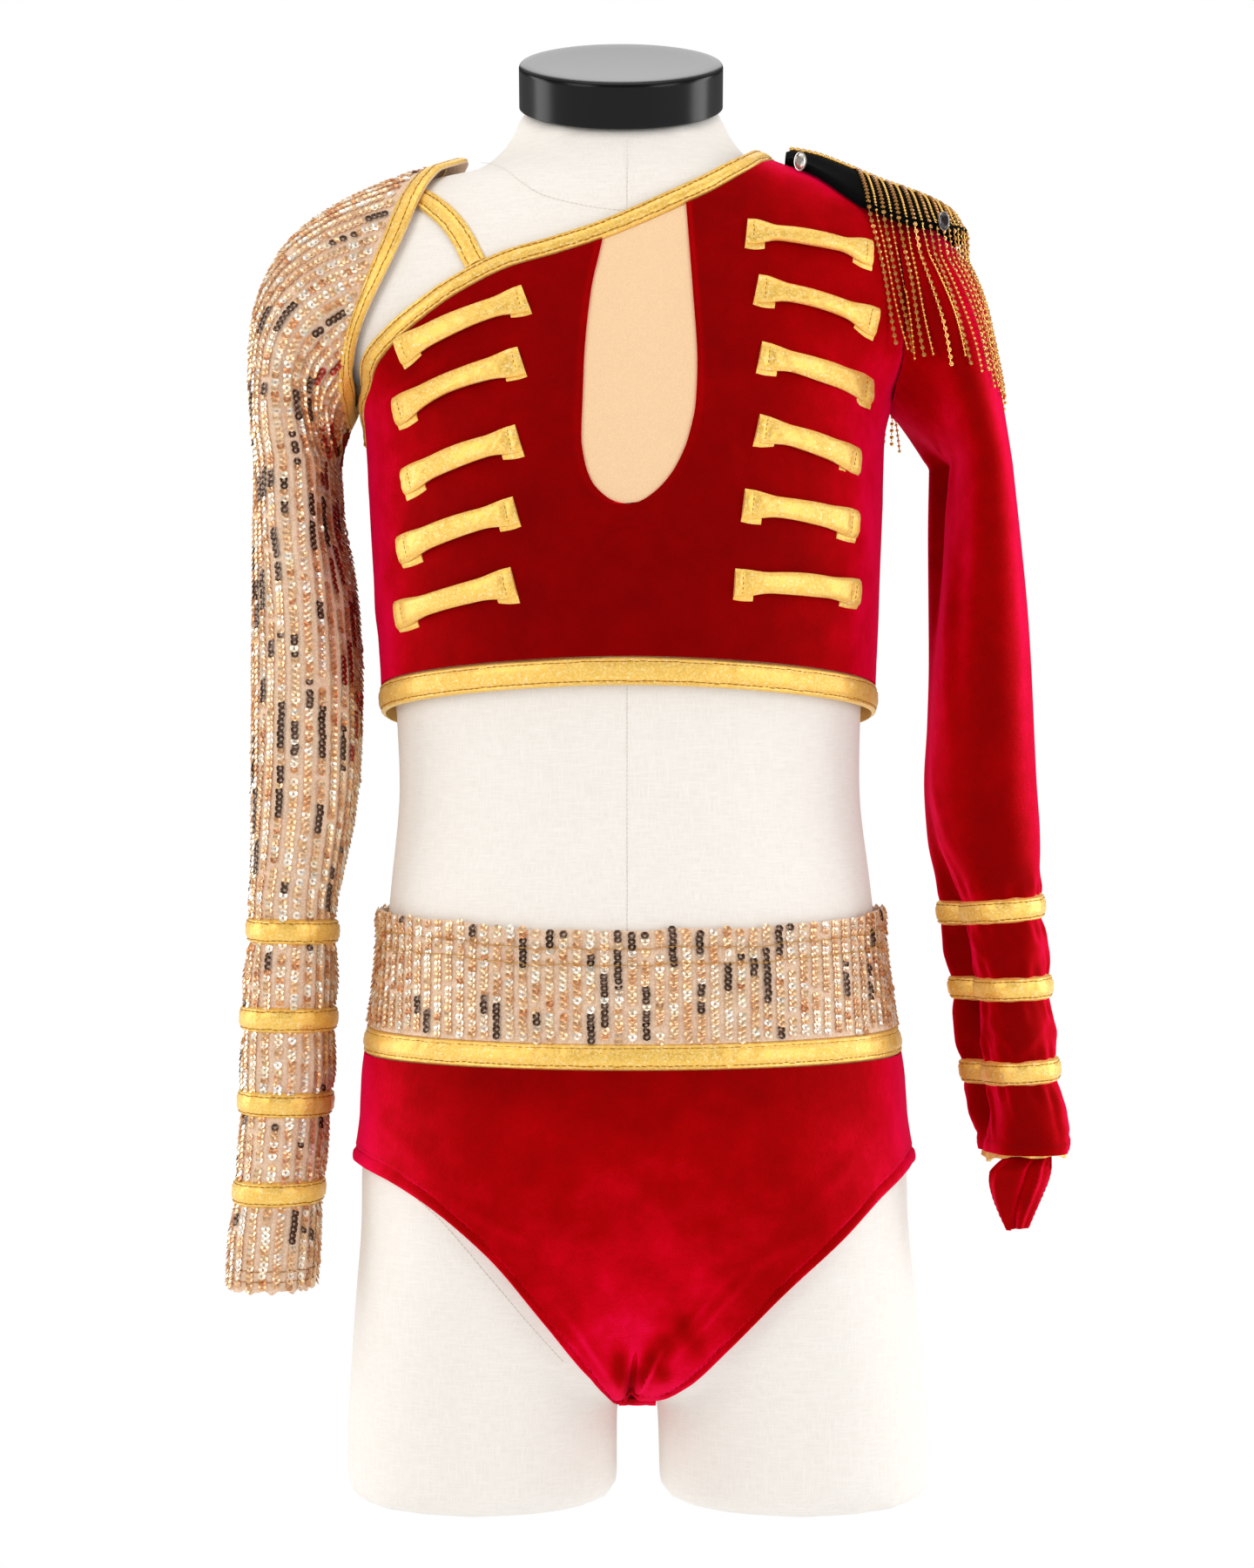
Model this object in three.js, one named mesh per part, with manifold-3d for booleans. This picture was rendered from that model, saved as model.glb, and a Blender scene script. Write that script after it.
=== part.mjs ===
// A two-piece dance costume on the limbless linen dress form that it rests on.
// Red velvet crop top with a keyhole of nude mesh, eleven gold bars, one velvet sleeve with an
// epaulette of chain fringe, one sequin sleeve, and velvet briefs with a sequin waistband.
// Millimetres, +Z up, the front faces -Y, and the wearer's left sleeve hangs on the +X side.
import * as THREE from "three";
import { mergeVertices } from "three/addons/utils/BufferGeometryUtils.js";
import Module from "manifold-3d";

const wasm = await Module();
wasm.setup();

// Driving dimensions
const CENTRE_X = -10.2; // puts the middle of the bounding box on the Z axis
const CENTRE_Y = -6.35;
const LEAN_BASE = 5.2; // the form's axis at the floor
const LEAN_TOP = -3.0; // and at the neck, because it stands a little askew
const LEAN_HEIGHT = 655;
const SEAM = 0.3; // gap between pieces that are sewn together
const VELVET = 1.5; // wall thickness of stretch velvet
const MESH = 0.9; // wall thickness of the nude mesh
const SEQUIN = 2; // wall thickness of the sequin cloth with the sequins sewn on it
const TRIM = 2.6; // thickness of a folded gold binding
const NECK_TRIM = 9; // finished widths of the bindings
const HEM_TRIM = 12.5;
const EDGE_TRIM = 11;
const STRAP = 10;
const BAND = 11;
const FORM_CROTCH = 52; // height of the crotch of the form

// Tables: one row for each section, with named columns
const table = (names, rows) => rows.map((row) => Object.fromEntries(names.map((n, i) => [n, row[i]])));

const TORSO = table(["z", "half", "front", "back", "power"], [
  [50, 34, 34, 38, 2],
  [56, 62, 56, 62, 2],
  [66, 84, 69, 78, 2],
  [85, 101, 78, 89, 2.05],
  [110, 113, 84, 97, 2.1],
  [153, 122.2, 88.6, 100.4, 2.15],
  [190, 121.5, 88, 98, 2.2],
  [212, 118.8, 86.3, 93, 2.2],
  [245, 113.6, 83.5, 85, 2.2],
  [281, 109.6, 79.5, 78, 2.2],
  [325, 105.4, 75.5, 75, 2.2],
  [349, 106, 77, 77, 2.2],
  [405, 110, 83.5, 83, 2.25],
  [445, 112.8, 87, 87, 2.3],
  [485, 114, 83.5, 90, 2.3],
  [500, 116.5, 80, 90.5, 2.25],
  [520, 134, 75, 89, 2.2],
  [548, 147, 66, 83, 2.2],
  [566, 145, 60, 75, 2.2],
  [580, 133, 55.5, 67, 2.15],
  [593, 109, 52, 59, 2.1],
  [600, 91, 50.5, 55.5, 2.05],
  [607, 70, 49.5, 52.5, 2],
  [613, 60, 48.5, 50.5, 2],
]);

const LEG = table(["z", "centre", "half", "front", "back"], [
  [0, 71.4, 58.4, 59, 61],
  [2.2, 71.4, 60.8, 61.5, 63.5],
  [7, 71.4, 61.8, 62.5, 64.5],
  [30, 71.2, 61.8, 63.5, 67],
  [62, 69.5, 61.2, 67, 74],
  [109, 66, 60.6, 73, 86],
  [153, 61, 59, 78, 92],
  [198, 58, 52, 66, 76],
]);

const NECK = table(["y", "z", "half", "depth", "tilt"], [
  [1, 606, 66, 50, 2],
  [-1, 613, 57, 48.5, 8],
  [-2.5, 619, 51, 47, 14],
  [-4, 626, 47.5, 46.3, 20],
  [-5, 634.2, 46.2, 46.2, 22.8],
]);

// How far the cloth of the top stands off the form: radially, at the sides, front and back
const TOP_EASE = table(["z", "side", "front", "back"], [
  [340, 5.5, 6.5, 3],
  [365, 4.8, 4.5, 3],
  [405, 3.8, 3, 2.5],
  [445, 2.9, 1.6, 1.6],
  [485, 3.6, 1.5, 1.5],
  [496, 4.8, 1.5, 1.5],
  [508, 2.4, 1.5, 1.5],
  [540, 1.6, 1.8, 2.6],
  [575, 2.4, 2.4, 3.2],
  [600, 2.4, 2.4, 3],
  [613, 2.2, 2.2, 2.2],
]);

const HIP_EASE = table(["z", "side", "front", "back"], [
  [50, 1.2, 1.4, 1.6],
  [68, 1.6, 1.6, 4],
  [100, 2, 1.6, 2.6],
  [150, 2.4, 1.8, 2.6],
  [190, 1.6, 1.2, 1.6],
  [212, 1.3, 1.2, 1.2],
  [245, 2.2, 1.2, 1.5],
  [278, 3.9, 1.4, 4],
]);

// The middle line of the neckline binding, seen from the front, and the same across the back
const NECKLINE_FRONT = table(["x", "z"], [
  [-117, 480],
  [-118, 491],
  [-115, 508],
  [-107, 521],
  [-93, 532.5],
  [-75.5, 544.5],
  [-54, 555.5],
  [-29, 563],
  [-6, 571],
  [14, 580],
  [35.5, 590.5],
  [53, 601],
  [62, 608],
  [66.5, 611],
]);

const NECKLINE_BACK = table(["x", "z"], [
  [-117, 480],
  [-118, 490],
  [-116, 503],
  [-104, 518],
  [-80, 537],
  [-45, 558],
  [-10, 574],
  [22, 587],
  [45, 597],
  [58, 605],
  [66.5, 611],
]);

const KEYHOLE = table(["z", "left", "right"], [
  [446.3, 1, 1],
  [447.2, -4, 5],
  [449.9, -9, 10],
  [456.3, -14.7, 17],
  [464.6, -17.6, 22.6],
  [475.7, -19, 27.3],
  [492.6, -18.3, 30.9],
  [511.7, -17.4, 31.8],
  [540.7, -14.3, 30.5],
  [564, -9.2, 29.2],
  [585, -5, 28],
]);

// Gold bars: the two ends of each, seen from the front
const BARS = table(["name", "x1", "z1", "x2", "z2"], [
  ["bar_left_1", -98, 517.5, -46.5, 537],
  ["bar_left_2", -99, 491, -48, 509],
  ["bar_left_3", -95, 459.5, -49, 474.7],
  ["bar_left_4", -97, 429.5, -50, 443.4],
  ["bar_left_5", -98.5, 400.8, -51, 412.7],
  ["bar_right_1", 55, 568.5, 106, 561.5],
  ["bar_right_2", 59, 542.2, 107.5, 530.8],
  ["bar_right_3", 60, 512, 105, 501.2],
  ["bar_right_4", 58.5, 479.5, 99, 468.7],
  ["bar_right_5", 52.5, 446.7, 98, 440.7],
  ["bar_right_6", 48.7, 412.6, 99, 410.5],
]);

// Leg openings of the briefs, from the middle out to the side seam
const LEG_LINE = table(["x", "left", "right", "back"], [
  [0, 54, 54, 55],
  [9, 54, 54, 55],
  [22, 67, 61, 58],
  [40, 90, 78, 66],
  [65, 120, 103, 86],
  [91, 141, 126, 112],
  [108, 149.5, 142, 130],
  [118, 152.4, 149, 140],
  [125, 154, 154, 154],
]);

// The hanging tubes: outer and inner edge seen from the front, the inner edge of the front fold,
// and the depth to the front and back
const VELVET_TUBE = table(["z", "outer", "inner", "fold", "front", "back"], [
  [470, 176.5, 139, 147, 43, 44],
  [438, 179.8, 138.4, 145.2, 42, 43],
  [405, 182.8, 138.6, 142.4, 40, 42],
  [381, 184.4, 138.8, 140.4, 39, 41],
  [352, 186, 138, 139, 38, 40],
  [325, 187.6, 136.4, 138, 37, 38],
  [301, 189.2, 137.6, 141, 35, 36],
  [283, 189.4, 140.4, 148, 32, 33],
  [266, 189.6, 143.4, 154, 28, 29],
  [249, 192.6, 144.6, 156.5, 29, 30],
  [230, 193.2, 149, 160.5, 26, 27],
  [211, 196, 150, 162, 27.5, 28.5],
  [192, 196.8, 154, 163.8, 25, 26],
  [175, 201.6, 155, 166.5, 28, 28],
  [163, 203, 159.5, 164, 29, 29],
  [157, 202.4, 160.5, 163.5, 28.5, 28],
]);

const SEQUIN_TUBE = table(["z", "outer", "inner", "fold", "front", "back"], [
  [470, 169.7, 132, 134, 41, 42],
  [445, 170, 130.4, 132, 41, 42],
  [426, 170.5, 126.4, 128, 40, 41],
  [404, 170.8, 123.6, 124.4, 39, 40],
  [372, 171.2, 122.2, 122.2, 37, 38],
  [337, 171.3, 123, 123, 36, 37],
  [309, 171.4, 126, 126, 34, 35],
  [285, 171.6, 131, 131, 31, 32],
  [269, 172.6, 134.2, 134.2, 28, 29],
  [256, 172.3, 134.6, 134.6, 26.5, 27],
  [235, 175.2, 133.6, 133.6, 28.5, 29],
  [216, 175.4, 135.3, 135.3, 26, 26.5],
  [196, 176.6, 134.6, 134.6, 27.5, 28],
  [177, 176.4, 137.2, 137.2, 25, 25.5],
  [155, 177.8, 138.4, 138.4, 27, 27.5],
  [137, 178.8, 141, 141, 25, 25.5],
  [117, 182, 141.4, 141.4, 26.5, 27],
  [95, 183.2, 143, 143, 26.5, 27],
]);

const VELVET_BANDS = table(["name", "z", "slope"], [
  ["velvet_band_1", 267.6, -0.1],
  ["velvet_band_2", 232, -0.04],
  ["velvet_band_3", 194, -0.06],
]);
const SEQUIN_BANDS = table(["name", "z", "slope"], [
  ["sequin_band_1", 258, -0.03],
  ["sequin_band_2", 218, -0.02],
  ["sequin_band_3", 179.5, -0.03],
  ["sequin_band_4", 139, 0.01],
]);

// The outer rim of the sequin sleeve's armhole, from the top of the shoulder down the front to the
// underarm; depth is how far it comes forward, and the same shape is taken for the back
const SEQUIN_EDGE = table(["x", "depth", "z"], [
  [-71, 0, 606.5],
  [-79, 20, 603],
  [-90, 37, 588],
  [-98, 46, 569],
  [-107, 48, 549],
  [-116, 43, 529],
  [-121, 31, 511],
  [-123.5, 16, 500],
  [-124, 0, 496],
]);

// The same for the seam of the velvet sleeve
const VELVET_EDGE = table(["x", "depth", "z"], [
  [120.5, 0, 590],
  [121, 25, 582],
  [122.5, 39, 567],
  [124, 45, 548],
  [124.5, 42, 530],
  [122.5, 30, 512],
  [120.5, 15, 500],
  [120, 0, 495.5],
]);

// The crown of each sleeve, seen from the front, from the end of its shoulder to the hanging tube
const VELVET_CROWN = table(["x", "z"], [
  [120.5, 590],
  [134, 583.5],
  [148, 573],
  [159, 556],
  [166, 531],
  [172, 500],
  [176.5, 470],
]);
const SEQUIN_CROWN = table(["x", "z"], [
  [-71, 606.5],
  [-96, 602],
  [-116, 595.5],
  [-138, 583.5],
  [-152, 569.5],
  [-162, 549],
  [-168, 513],
  [-169.7, 470],
]);

// The middle of the board on the shoulder: its under side, how far it reaches to the front and
// back, and how far it drops there
const BOARD = table(["x", "z", "reach", "drop"], [
  [73, 613, 24, 9], [86, 610.5, 32, 16], [100, 605.3, 37, 19.5], [116, 598.5, 39, 19.5],
  [130, 593.5, 38, 19], [142, 588.5, 31, 14.5], [150, 583, 20, 8.5], [153.5, 578, 9, 3],
]);

// The shoulder strap's middle line, from the front neckline over the shoulder to the back
const STRAP_LINE = table(["angle", "z"], [
  [138, 555],
  [140.5, 561],
  [142.5, 566],
  [146, 573],
  [151, 580.5],
  [157, 587],
  [166, 592],
  [180, 594.5],
  [196, 592],
  [210, 584],
  [221, 573],
  [227, 562],
  [231, 552],
]);

// The pointed end over the hand: its middle, and how far it spreads and bends forward
const HAND_POINT = table(["z", "centre", "half", "front", "spread"], [
  [152, 179, 14.6, 24, 75],
  [145, 178.6, 13.4, 21, 95],
  [137, 178.4, 11, 17, 110],
  [129, 178.5, 8, 13, 120],
  [122, 178.8, 5, 9.5, 125],
]);

// Small helpers
const DEG = Math.PI / 180;
const mix = (a, b, t) => a + (b - a) * t;
const clamp = (x, lo, hi) => Math.min(hi, Math.max(lo, x));
const bump = (x, middle, width) => Math.exp(-(((x - middle) / width) ** 2));
const smooth = (lo, hi, x) => {
  const t = clamp((x - lo) / (hi - lo), 0, 1);
  return t * t * (3 - 2 * t);
};

// A smooth curve through a table's rows that never overshoots them (monotone cubic)
function curve(rows, key, value) {
  const sorted = [...rows].sort((a, b) => a[key] - b[key]);
  const x = sorted.map((r) => r[key]);
  const y = sorted.map((r) => r[value]);
  const slope = y.slice(1).map((v, i) => (v - y[i]) / (x[i + 1] - x[i]));
  const tangent = y.map((_, i) => {
    if (i === 0) return slope[0];
    if (i === y.length - 1) return slope[i - 1];
    if (slope[i - 1] * slope[i] <= 0) return 0;
    return (2 * slope[i - 1] * slope[i]) / (slope[i - 1] + slope[i]);
  });
  return (at) => {
    const p = clamp(at, x[0], x[x.length - 1]);
    let i = 0;
    while (i < x.length - 2 && p > x[i + 1]) i++;
    const h = x[i + 1] - x[i];
    const t = (p - x[i]) / h;
    const a = 2 * t ** 3 - 3 * t ** 2 + 1;
    const b = t ** 3 - 2 * t ** 2 + t;
    return a * y[i] + b * h * tangent[i] + (1 - a) * y[i + 1] + (t ** 3 - t ** 2) * h * tangent[i + 1];
  };
}
const curves = (rows, key = "z") =>
  Object.fromEntries(Object.keys(rows[0]).filter((k) => k !== key).map((k) => [k, curve(rows, key, k)]));

// A smooth curve in space or in the plane, through points, by share of its length
function path(points) {
  const line = new THREE.CatmullRomCurve3(points, false, "centripetal");
  return (t) => line.getPointAt(clamp(t, 0, 1));
}

// Finds where a rising or falling function crosses zero
function root(f, lo, hi) {
  const rising = f(hi) > f(lo);
  for (let i = 0; i < 40; i++) {
    const middle = (lo + hi) / 2;
    if (f(middle) > 0 === rising) hi = middle;
    else lo = middle;
  }
  return (lo + hi) / 2;
}

// The form: radius of each section at an angle (0 at +X, 90 at the front, 180 at -X, 270 at the back)
const torso = curves(TORSO);
const leg = curves(LEG);
const leanAt = (z) => mix(LEAN_BASE, LEAN_TOP, z / LEAN_HEIGHT);

// Radius of an oval with its own front and back depth
function ovalRadius(angle, half, front, back, power) {
  const c = Math.abs(Math.cos(angle)) / half;
  const s = Math.abs(Math.sin(angle)) / (Math.sin(angle) > 0 ? front : back);
  return (c ** power + s ** power) ** (-1 / power);
}

// Signed radial distance from a point to an oval round (centre, 0)
function ovalGap(x, y, centre, half, front, back, power) {
  const r = Math.hypot(x - centre, y) + 1e-9;
  return r - ovalRadius(Math.atan2(y, x - centre), half, front, back, power);
}

function softMin(a, b, k) {
  const h = Math.max(k - Math.abs(a - b), 0) / k;
  return Math.min(a, b) - (h * h * k) / 4;
}

const BLEND_TOP = 198; // above this height the section is the torso's oval alone

// Radius of the form, with the legs blended into the torso over a width of blend
function formRadius(angle, z, blend = 14) {
  const oval = ovalRadius(angle, torso.half(z), torso.front(z), torso.back(z), torso.power(z));
  if (z >= BLEND_TOP) return oval;
  const k = blend * clamp((BLEND_TOP - z) / 45, 0.03, 1);
  const inside = (r) => {
    const x = r * Math.cos(angle);
    const y = r * Math.sin(angle);
    const body = ovalGap(x, y, 0, torso.half(z), torso.front(z), torso.back(z), torso.power(z));
    const legs = [-1, 1].map((side) =>
      ovalGap(x, y, side * leg.centre(z), leg.half(z), leg.front(z), leg.back(z), 2));
    return softMin(softMin(body, legs[0], k), legs[1], k);
  };
  let r = 150;
  while (r > 20 && inside(r) > 0) r -= 2;
  return root(inside, r, r + 2);
}

// A surface wrapped round the form's axis, with its outward normal
function wrapped(radius) {
  const point = (angle, z) => {
    const r = radius(angle, z);
    return new THREE.Vector3(leanAt(z) + r * Math.cos(angle), -r * Math.sin(angle), z);
  };
  return (angle, z) => {
    const p = point(angle, z);
    const round = point(angle + 1e-3, z).sub(point(angle - 1e-3, z));
    const up = point(angle, z + 0.05).sub(point(angle, z - 0.05));
    return { p, n: up.cross(round).normalize() };
  };
}

function eased(ease, blend) {
  const by = curves(ease);
  return (angle, z) => {
    const s = Math.sin(angle);
    const depth = s > 0 ? by.front(z) : by.back(z);
    return formRadius(angle, z, mix(14, blend, s ** 6)) + mix(by.side(z), depth, s * s);
  };
}

const form = wrapped((angle, z) => formRadius(angle, z));
const topRadius = eased(TOP_EASE, 14);
const hipRadius = eased(HIP_EASE, 46);
const top = wrapped(topRadius);
const hip = wrapped(hipRadius);

// The angle at which the top's inner face has this x (from the form's axis), on the front
function angleAt(x, z) {
  const reach = (a) => topRadius(a, z) * Math.cos(a) - x;
  if (reach(0) <= 0) return 0;
  if (reach(Math.PI) >= 0) return Math.PI;
  return root(reach, 0, Math.PI);
}
const backAngleAt = (x, z) => {
  const reach = (a) => topRadius(-a, z) * Math.cos(a) - x;
  if (reach(0) <= 0) return 2 * Math.PI;
  if (reach(Math.PI) >= 0) return Math.PI;
  return 2 * Math.PI - root(reach, 0, Math.PI);
};

// Sheets and walls. A sheet is points with normals, each with the offsets of its inner and outer face
function sheet() {
  return { at: [], faces: [] };
}

function addGrid(s, nu, nv, f, closedU = false, closedV = false) {
  const start = s.at.length;
  for (let j = 0; j <= nv; j++) for (let i = 0; i <= nu; i++) s.at.push(f(i / nu, j / nv, i, j));
  const id = (i, j) => start + (closedV && j === nv ? 0 : j) * (nu + 1) + (closedU && i === nu ? 0 : i);
  for (let j = 0; j < nv; j++)
    for (let i = 0; i < nu; i++) {
      s.faces.push([id(i, j), id(i + 1, j), id(i + 1, j + 1)], [id(i, j), id(i + 1, j + 1), id(i, j + 1)]);
    }
  return s;
}

// Gives a sheet its thickness and closes it all round its free edges
function wallOf(s) {
  const keys = new Map();
  const same = s.at.map(({ p }, i) => {
    const key = p.toArray().map((x) => Math.round(x * 500)).join();
    if (!keys.has(key)) keys.set(key, i);
    return keys.get(key);
  });
  const faces = s.faces.map((f) => f.map((i) => same[i])).filter(([a, b, c]) => a !== b && b !== c && a !== c);
  const used = [...new Set(faces.flat())];
  const number = new Map(used.map((v, i) => [v, i]));
  const positions = [];
  for (const side of ["hi", "lo"])
    for (const v of used) {
      const { p, n } = s.at[v];
      positions.push(...p.clone().addScaledVector(n, s.at[v][side]).toArray());
    }
  const index = [];
  const edges = new Map();
  const m = used.length;
  for (const f of faces) {
    const [a, b, c] = f.map((v) => number.get(v));
    index.push(a, b, c, m + a, m + c, m + b);
    for (const [p, q] of [[a, b], [b, c], [c, a]]) {
      if (edges.has(q + "," + p)) edges.delete(q + "," + p);
      else edges.set(p + "," + q, [p, q]);
    }
  }
  for (const [p, q] of edges.values()) index.push(q, p, m + p, q, m + p, m + q);
  return facingOut(geometryOf(positions, index));
}

function geometryOf(positions, index) {
  const g = new THREE.BufferGeometry();
  g.setAttribute("position", new THREE.Float32BufferAttribute(positions, 3));
  g.setIndex(index);
  return g;
}

function facingOut(g) {
  const p = g.getAttribute("position");
  const [a, b, c] = [new THREE.Vector3(), new THREE.Vector3(), new THREE.Vector3()];
  let volume = 0;
  for (let i = 0; i < g.index.count; i += 3) {
    a.fromBufferAttribute(p, g.index.getX(i));
    b.fromBufferAttribute(p, g.index.getX(i + 1));
    c.fromBufferAttribute(p, g.index.getX(i + 2));
    volume += a.dot(b.cross(c));
  }
  if (volume < 0) g.setIndex([...g.index.array].reverse());
  return g;
}

const toSolid = (g) => {
  const bare = g.clone();
  for (const name of Object.keys(bare.attributes)) if (name !== "position") bare.deleteAttribute(name);
  const merged = mergeVertices(bare, 1e-3);
  const mesh = new wasm.Mesh({
    numProp: 3,
    vertProperties: merged.attributes.position.array,
    triVerts: new Uint32Array(merged.index.array),
  });
  return new wasm.Manifold(mesh);
};
const fromSolid = (s) => {
  const mesh = s.getMesh();
  return geometryOf(mesh.vertProperties, [...mesh.triVerts]);
};

// A closed solid from rings of points, with flat ends
function loft(rings) {
  const n = rings[0].length;
  const positions = rings.flat().flatMap((p) => p.toArray());
  const index = [];
  for (let j = 0; j < rings.length - 1; j++)
    for (let i = 0; i < n; i++) {
      const [a, b] = [j * n + i, j * n + ((i + 1) % n)];
      index.push(a, b, b + n, a, b + n, a + n);
    }
  for (const [ring, first] of [[rings[0], 0], [rings.at(-1), (rings.length - 1) * n]]) {
    const middle = ring.reduce((sum, p) => sum.add(p), new THREE.Vector3()).divideScalar(n);
    const centre = positions.length / 3;
    positions.push(...middle.toArray());
    for (let i = 0; i < n; i++) {
      const edge = [first + i, first + ((i + 1) % n)];
      index.push(...(first ? [edge[0], edge[1], centre] : [edge[1], edge[0], centre]));
    }
  }
  return facingOut(geometryOf(positions, index));
}

// A flat ribbon along a line on a surface. line(t) gives {p, n}; the profile is crowned across its width
function ribbon(line, steps, width, { lo = 0, hi = TRIM, crown = 0.6, closed = false, rows = 2 } = {}) {
  const eps = 1e-3;
  return wallOf(addGrid(sheet(), steps, rows, (t, v) => {
    const here = line(t);
    const wrap = (x) => (closed ? (x + 1) % 1 : clamp(x, 0, 1));
    const along = line(wrap(t + eps)).p.clone().sub(line(wrap(t - eps)).p).normalize();
    const across = along.cross(here.n).normalize();
    const side = mix(-width, width, v);
    const edge = Math.abs(2 * v - 1);
    return { p: here.p.clone().addScaledVector(across, side), n: here.n, lo, hi: hi - crown * edge ** 2 };
  }, closed));
}

// The dress form
function dressForm() {
  const around = 30;
  const heights = [FORM_CROTCH, 60, 72, 92, 120, 153, 185, 215, 250, 285, 325, 370, 425, 478, 500, 512, 528,
    545, 561, 575, 586, 596];
  const rings = heights.map((z) =>
    Array.from({ length: around }, (_, i) => form((i / around) * 2 * Math.PI, z).p));
  for (const { y, z, half, depth, tilt } of NECK)
    rings.push(Array.from({ length: around }, (_, i) => {
      const a = (i / around) * 2 * Math.PI;
      const back = -depth * Math.sin(a);
      const [c, s] = [Math.cos(tilt * DEG), Math.sin(tilt * DEG)];
      return new THREE.Vector3(leanAt(z) + half * Math.cos(a), y + back * c, z + back * s);
    }));
  let body = toSolid(loft(rings));
  for (const side of [-1, 1]) {
    const legRings = [0, 2.2, 7, 30, FORM_CROTCH, 64].map((z, k, all) =>
      Array.from({ length: 24 }, (_, i) => {
        const a = (i / 24) * 2 * Math.PI;
        const inset = k === all.length - 1 ? 4 : 0;
        const r = ovalRadius(a, leg.half(z) - inset, leg.front(z) - inset, leg.back(z) - inset, 2);
        const x = leanAt(z) + side * leg.centre(z) + r * Math.cos(a);
        return new THREE.Vector3(x, -r * Math.sin(a), z);
      }));
    body = body.add(toSolid(loft(legRings)));
  }
  return fromSolid(body);
}

// The cap on the form's neck, tilted forward with it
function neckCap() {
  const radius = 46.6;
  const height = 20.8;
  const outline = [[0, 0], [radius, 0], [radius, height - 3], [radius - 0.9, height - 0.9],
    [radius - 3, height], [0, height]];
  const g = new THREE.LatheGeometry(outline.map(([x, y]) => new THREE.Vector2(x, y)), 32);
  g.rotateX(Math.PI / 2);
  const { y, z, tilt } = NECK.at(-1);
  g.translate(0, 0, SEAM);
  g.rotateX(tilt * DEG);
  g.translate(leanAt(z), y, z);
  return fromSolid(toSolid(g));
}

// Crop top
const hemZ = (angle) => 356.5 + 12.5 * Math.sin(angle) - 1 * Math.sin(angle) ** 2;
const hemTop = (angle) => hemZ(angle) + HEM_TRIM + SEAM;

function necklineOn(rows, find) {
  const line = path(rows.map(({ x, z }) => new THREE.Vector3(find(x, z) * 100, z, 0)));
  return (t) => {
    const q = line(t);
    return top(q.x / 100, q.y);
  };
}
const neckFront = necklineOn(NECKLINE_FRONT, angleAt);
const neckBack = necklineOn(NECKLINE_BACK, backAngleAt);

// Where the cloth ends below its binding: height by angle
function clothEdge(line, below, front) {
  const count = 90;
  const rows = Array.from({ length: count + 1 }, (_, i) => {
    const t = i / count;
    const here = line(t);
    const along = line(clamp(t + 2e-3, 0, 1)).p.sub(line(clamp(t - 2e-3, 0, 1)).p).normalize();
    const across = along.cross(here.n).normalize();
    if (across.z > 0) across.negate();
    const p = here.p.addScaledVector(across, below);
    const angle = Math.atan2(-p.y, p.x - leanAt(p.z));
    return { angle: front || angle > 0 ? angle : angle + 2 * Math.PI, z: p.z };
  });
  const usable = rows
    .filter(({ angle }) => (front ? angle > 0.01 && angle < Math.PI - 0.005 : angle > Math.PI + 0.005))
    .sort((a, b) => a.angle - b.angle)
    .filter((r, i, all) => i === 0 || r.angle - all[i - 1].angle > 0.004);
  return curve(usable, "angle", "z");
}
const frontEdge = clothEdge(neckFront, 0.6, true);
const backEdge = clothEdge(neckBack, 0.6, false);

// Takes away what is on a panel where its binding goes, and keeps the biggest body that is left
const bindingCutter = (line) => toSolid(ribbon(line, 22, NECK_TRIM / 2 + SEAM + 0.1, { lo: -1.4, hi: 5, crown: 0, rows: 1 }));
function largest(solid) {
  return fromSolid(solid.decompose().sort((a, b) => b.volume() - a.volume())[0]);
}

// A point of a panel on a surface, by share across and share up, between two edges and two heights
function panelPoint(surface, share, v, { from, to, low, high }) {
  let z = mix(low(mix(from(400), to(400), share)), 520, v);
  let angle = 0;
  for (let i = 0; i < 24; i++) {
    angle = mix(from(z), to(z), share);
    z = mix(z, mix(low(angle), high(angle), v), 0.6);
  }
  return { ...surface(angle, z), lo: 0, hi: VELVET };
}

const keyhole = curves(KEYHOLE);
const keyholeLow = KEYHOLE[0];
const seamTurn = (z) => (SEAM / 2 + 0.02) / topRadius(0, z);
const keyholeSide = (key, by = 0) => (z) => angleAt(keyhole[key](z) + by, z);

// The front is cut in one piece; the keyhole opens from its lowest point to the neckline
const levelOf = (z) => {
  const angle = angleAt(keyholeLow.left, keyholeLow.z);
  return (z - hemTop(angle)) / (frontEdge(angle) - hemTop(angle));
};
// Rows of the front: four up to the keyhole, then rows at these heights of it, and the neckline
const SLIT_ROWS = [448.8, 455, 467, 485, 505, 524, 540, 554, 566].map(levelOf);
const frontRows = [...[0, 0.25, 0.5, 0.75, 1].map((t) => t * levelOf(keyholeLow.z)), ...SLIT_ROWS, 1];

function frontPanel(cutters) {
  const s = sheet();
  const half = (from, to) => addGrid(s, 9, frontRows.length - 1, (u, v, i, j) =>
    panelPoint(top, u, frontRows[j], { from, to, low: hemTop, high: frontEdge }));
  half(seamTurn, keyholeSide("right"));
  half(keyholeSide("left"), (z) => Math.PI - seamTurn(z));
  return largest(cutters.reduce((solid, c) => solid.subtract(c), toSolid(wallOf(s))));
}

function keyholeMesh(cutter) {
  const inset = SEAM + 0.25;
  const range = { from: keyholeSide("right", -inset), to: keyholeSide("left", inset), low: hemTop, high: frontEdge };
  const rows = [...SLIT_ROWS, 1];
  const s = addGrid(sheet(), 4, rows.length - 1, (u, v, i, j) =>
    ({ ...panelPoint(top, u, rows[j], range), hi: MESH }));
  return largest(toSolid(wallOf(s)).subtract(cutter));
}

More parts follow.
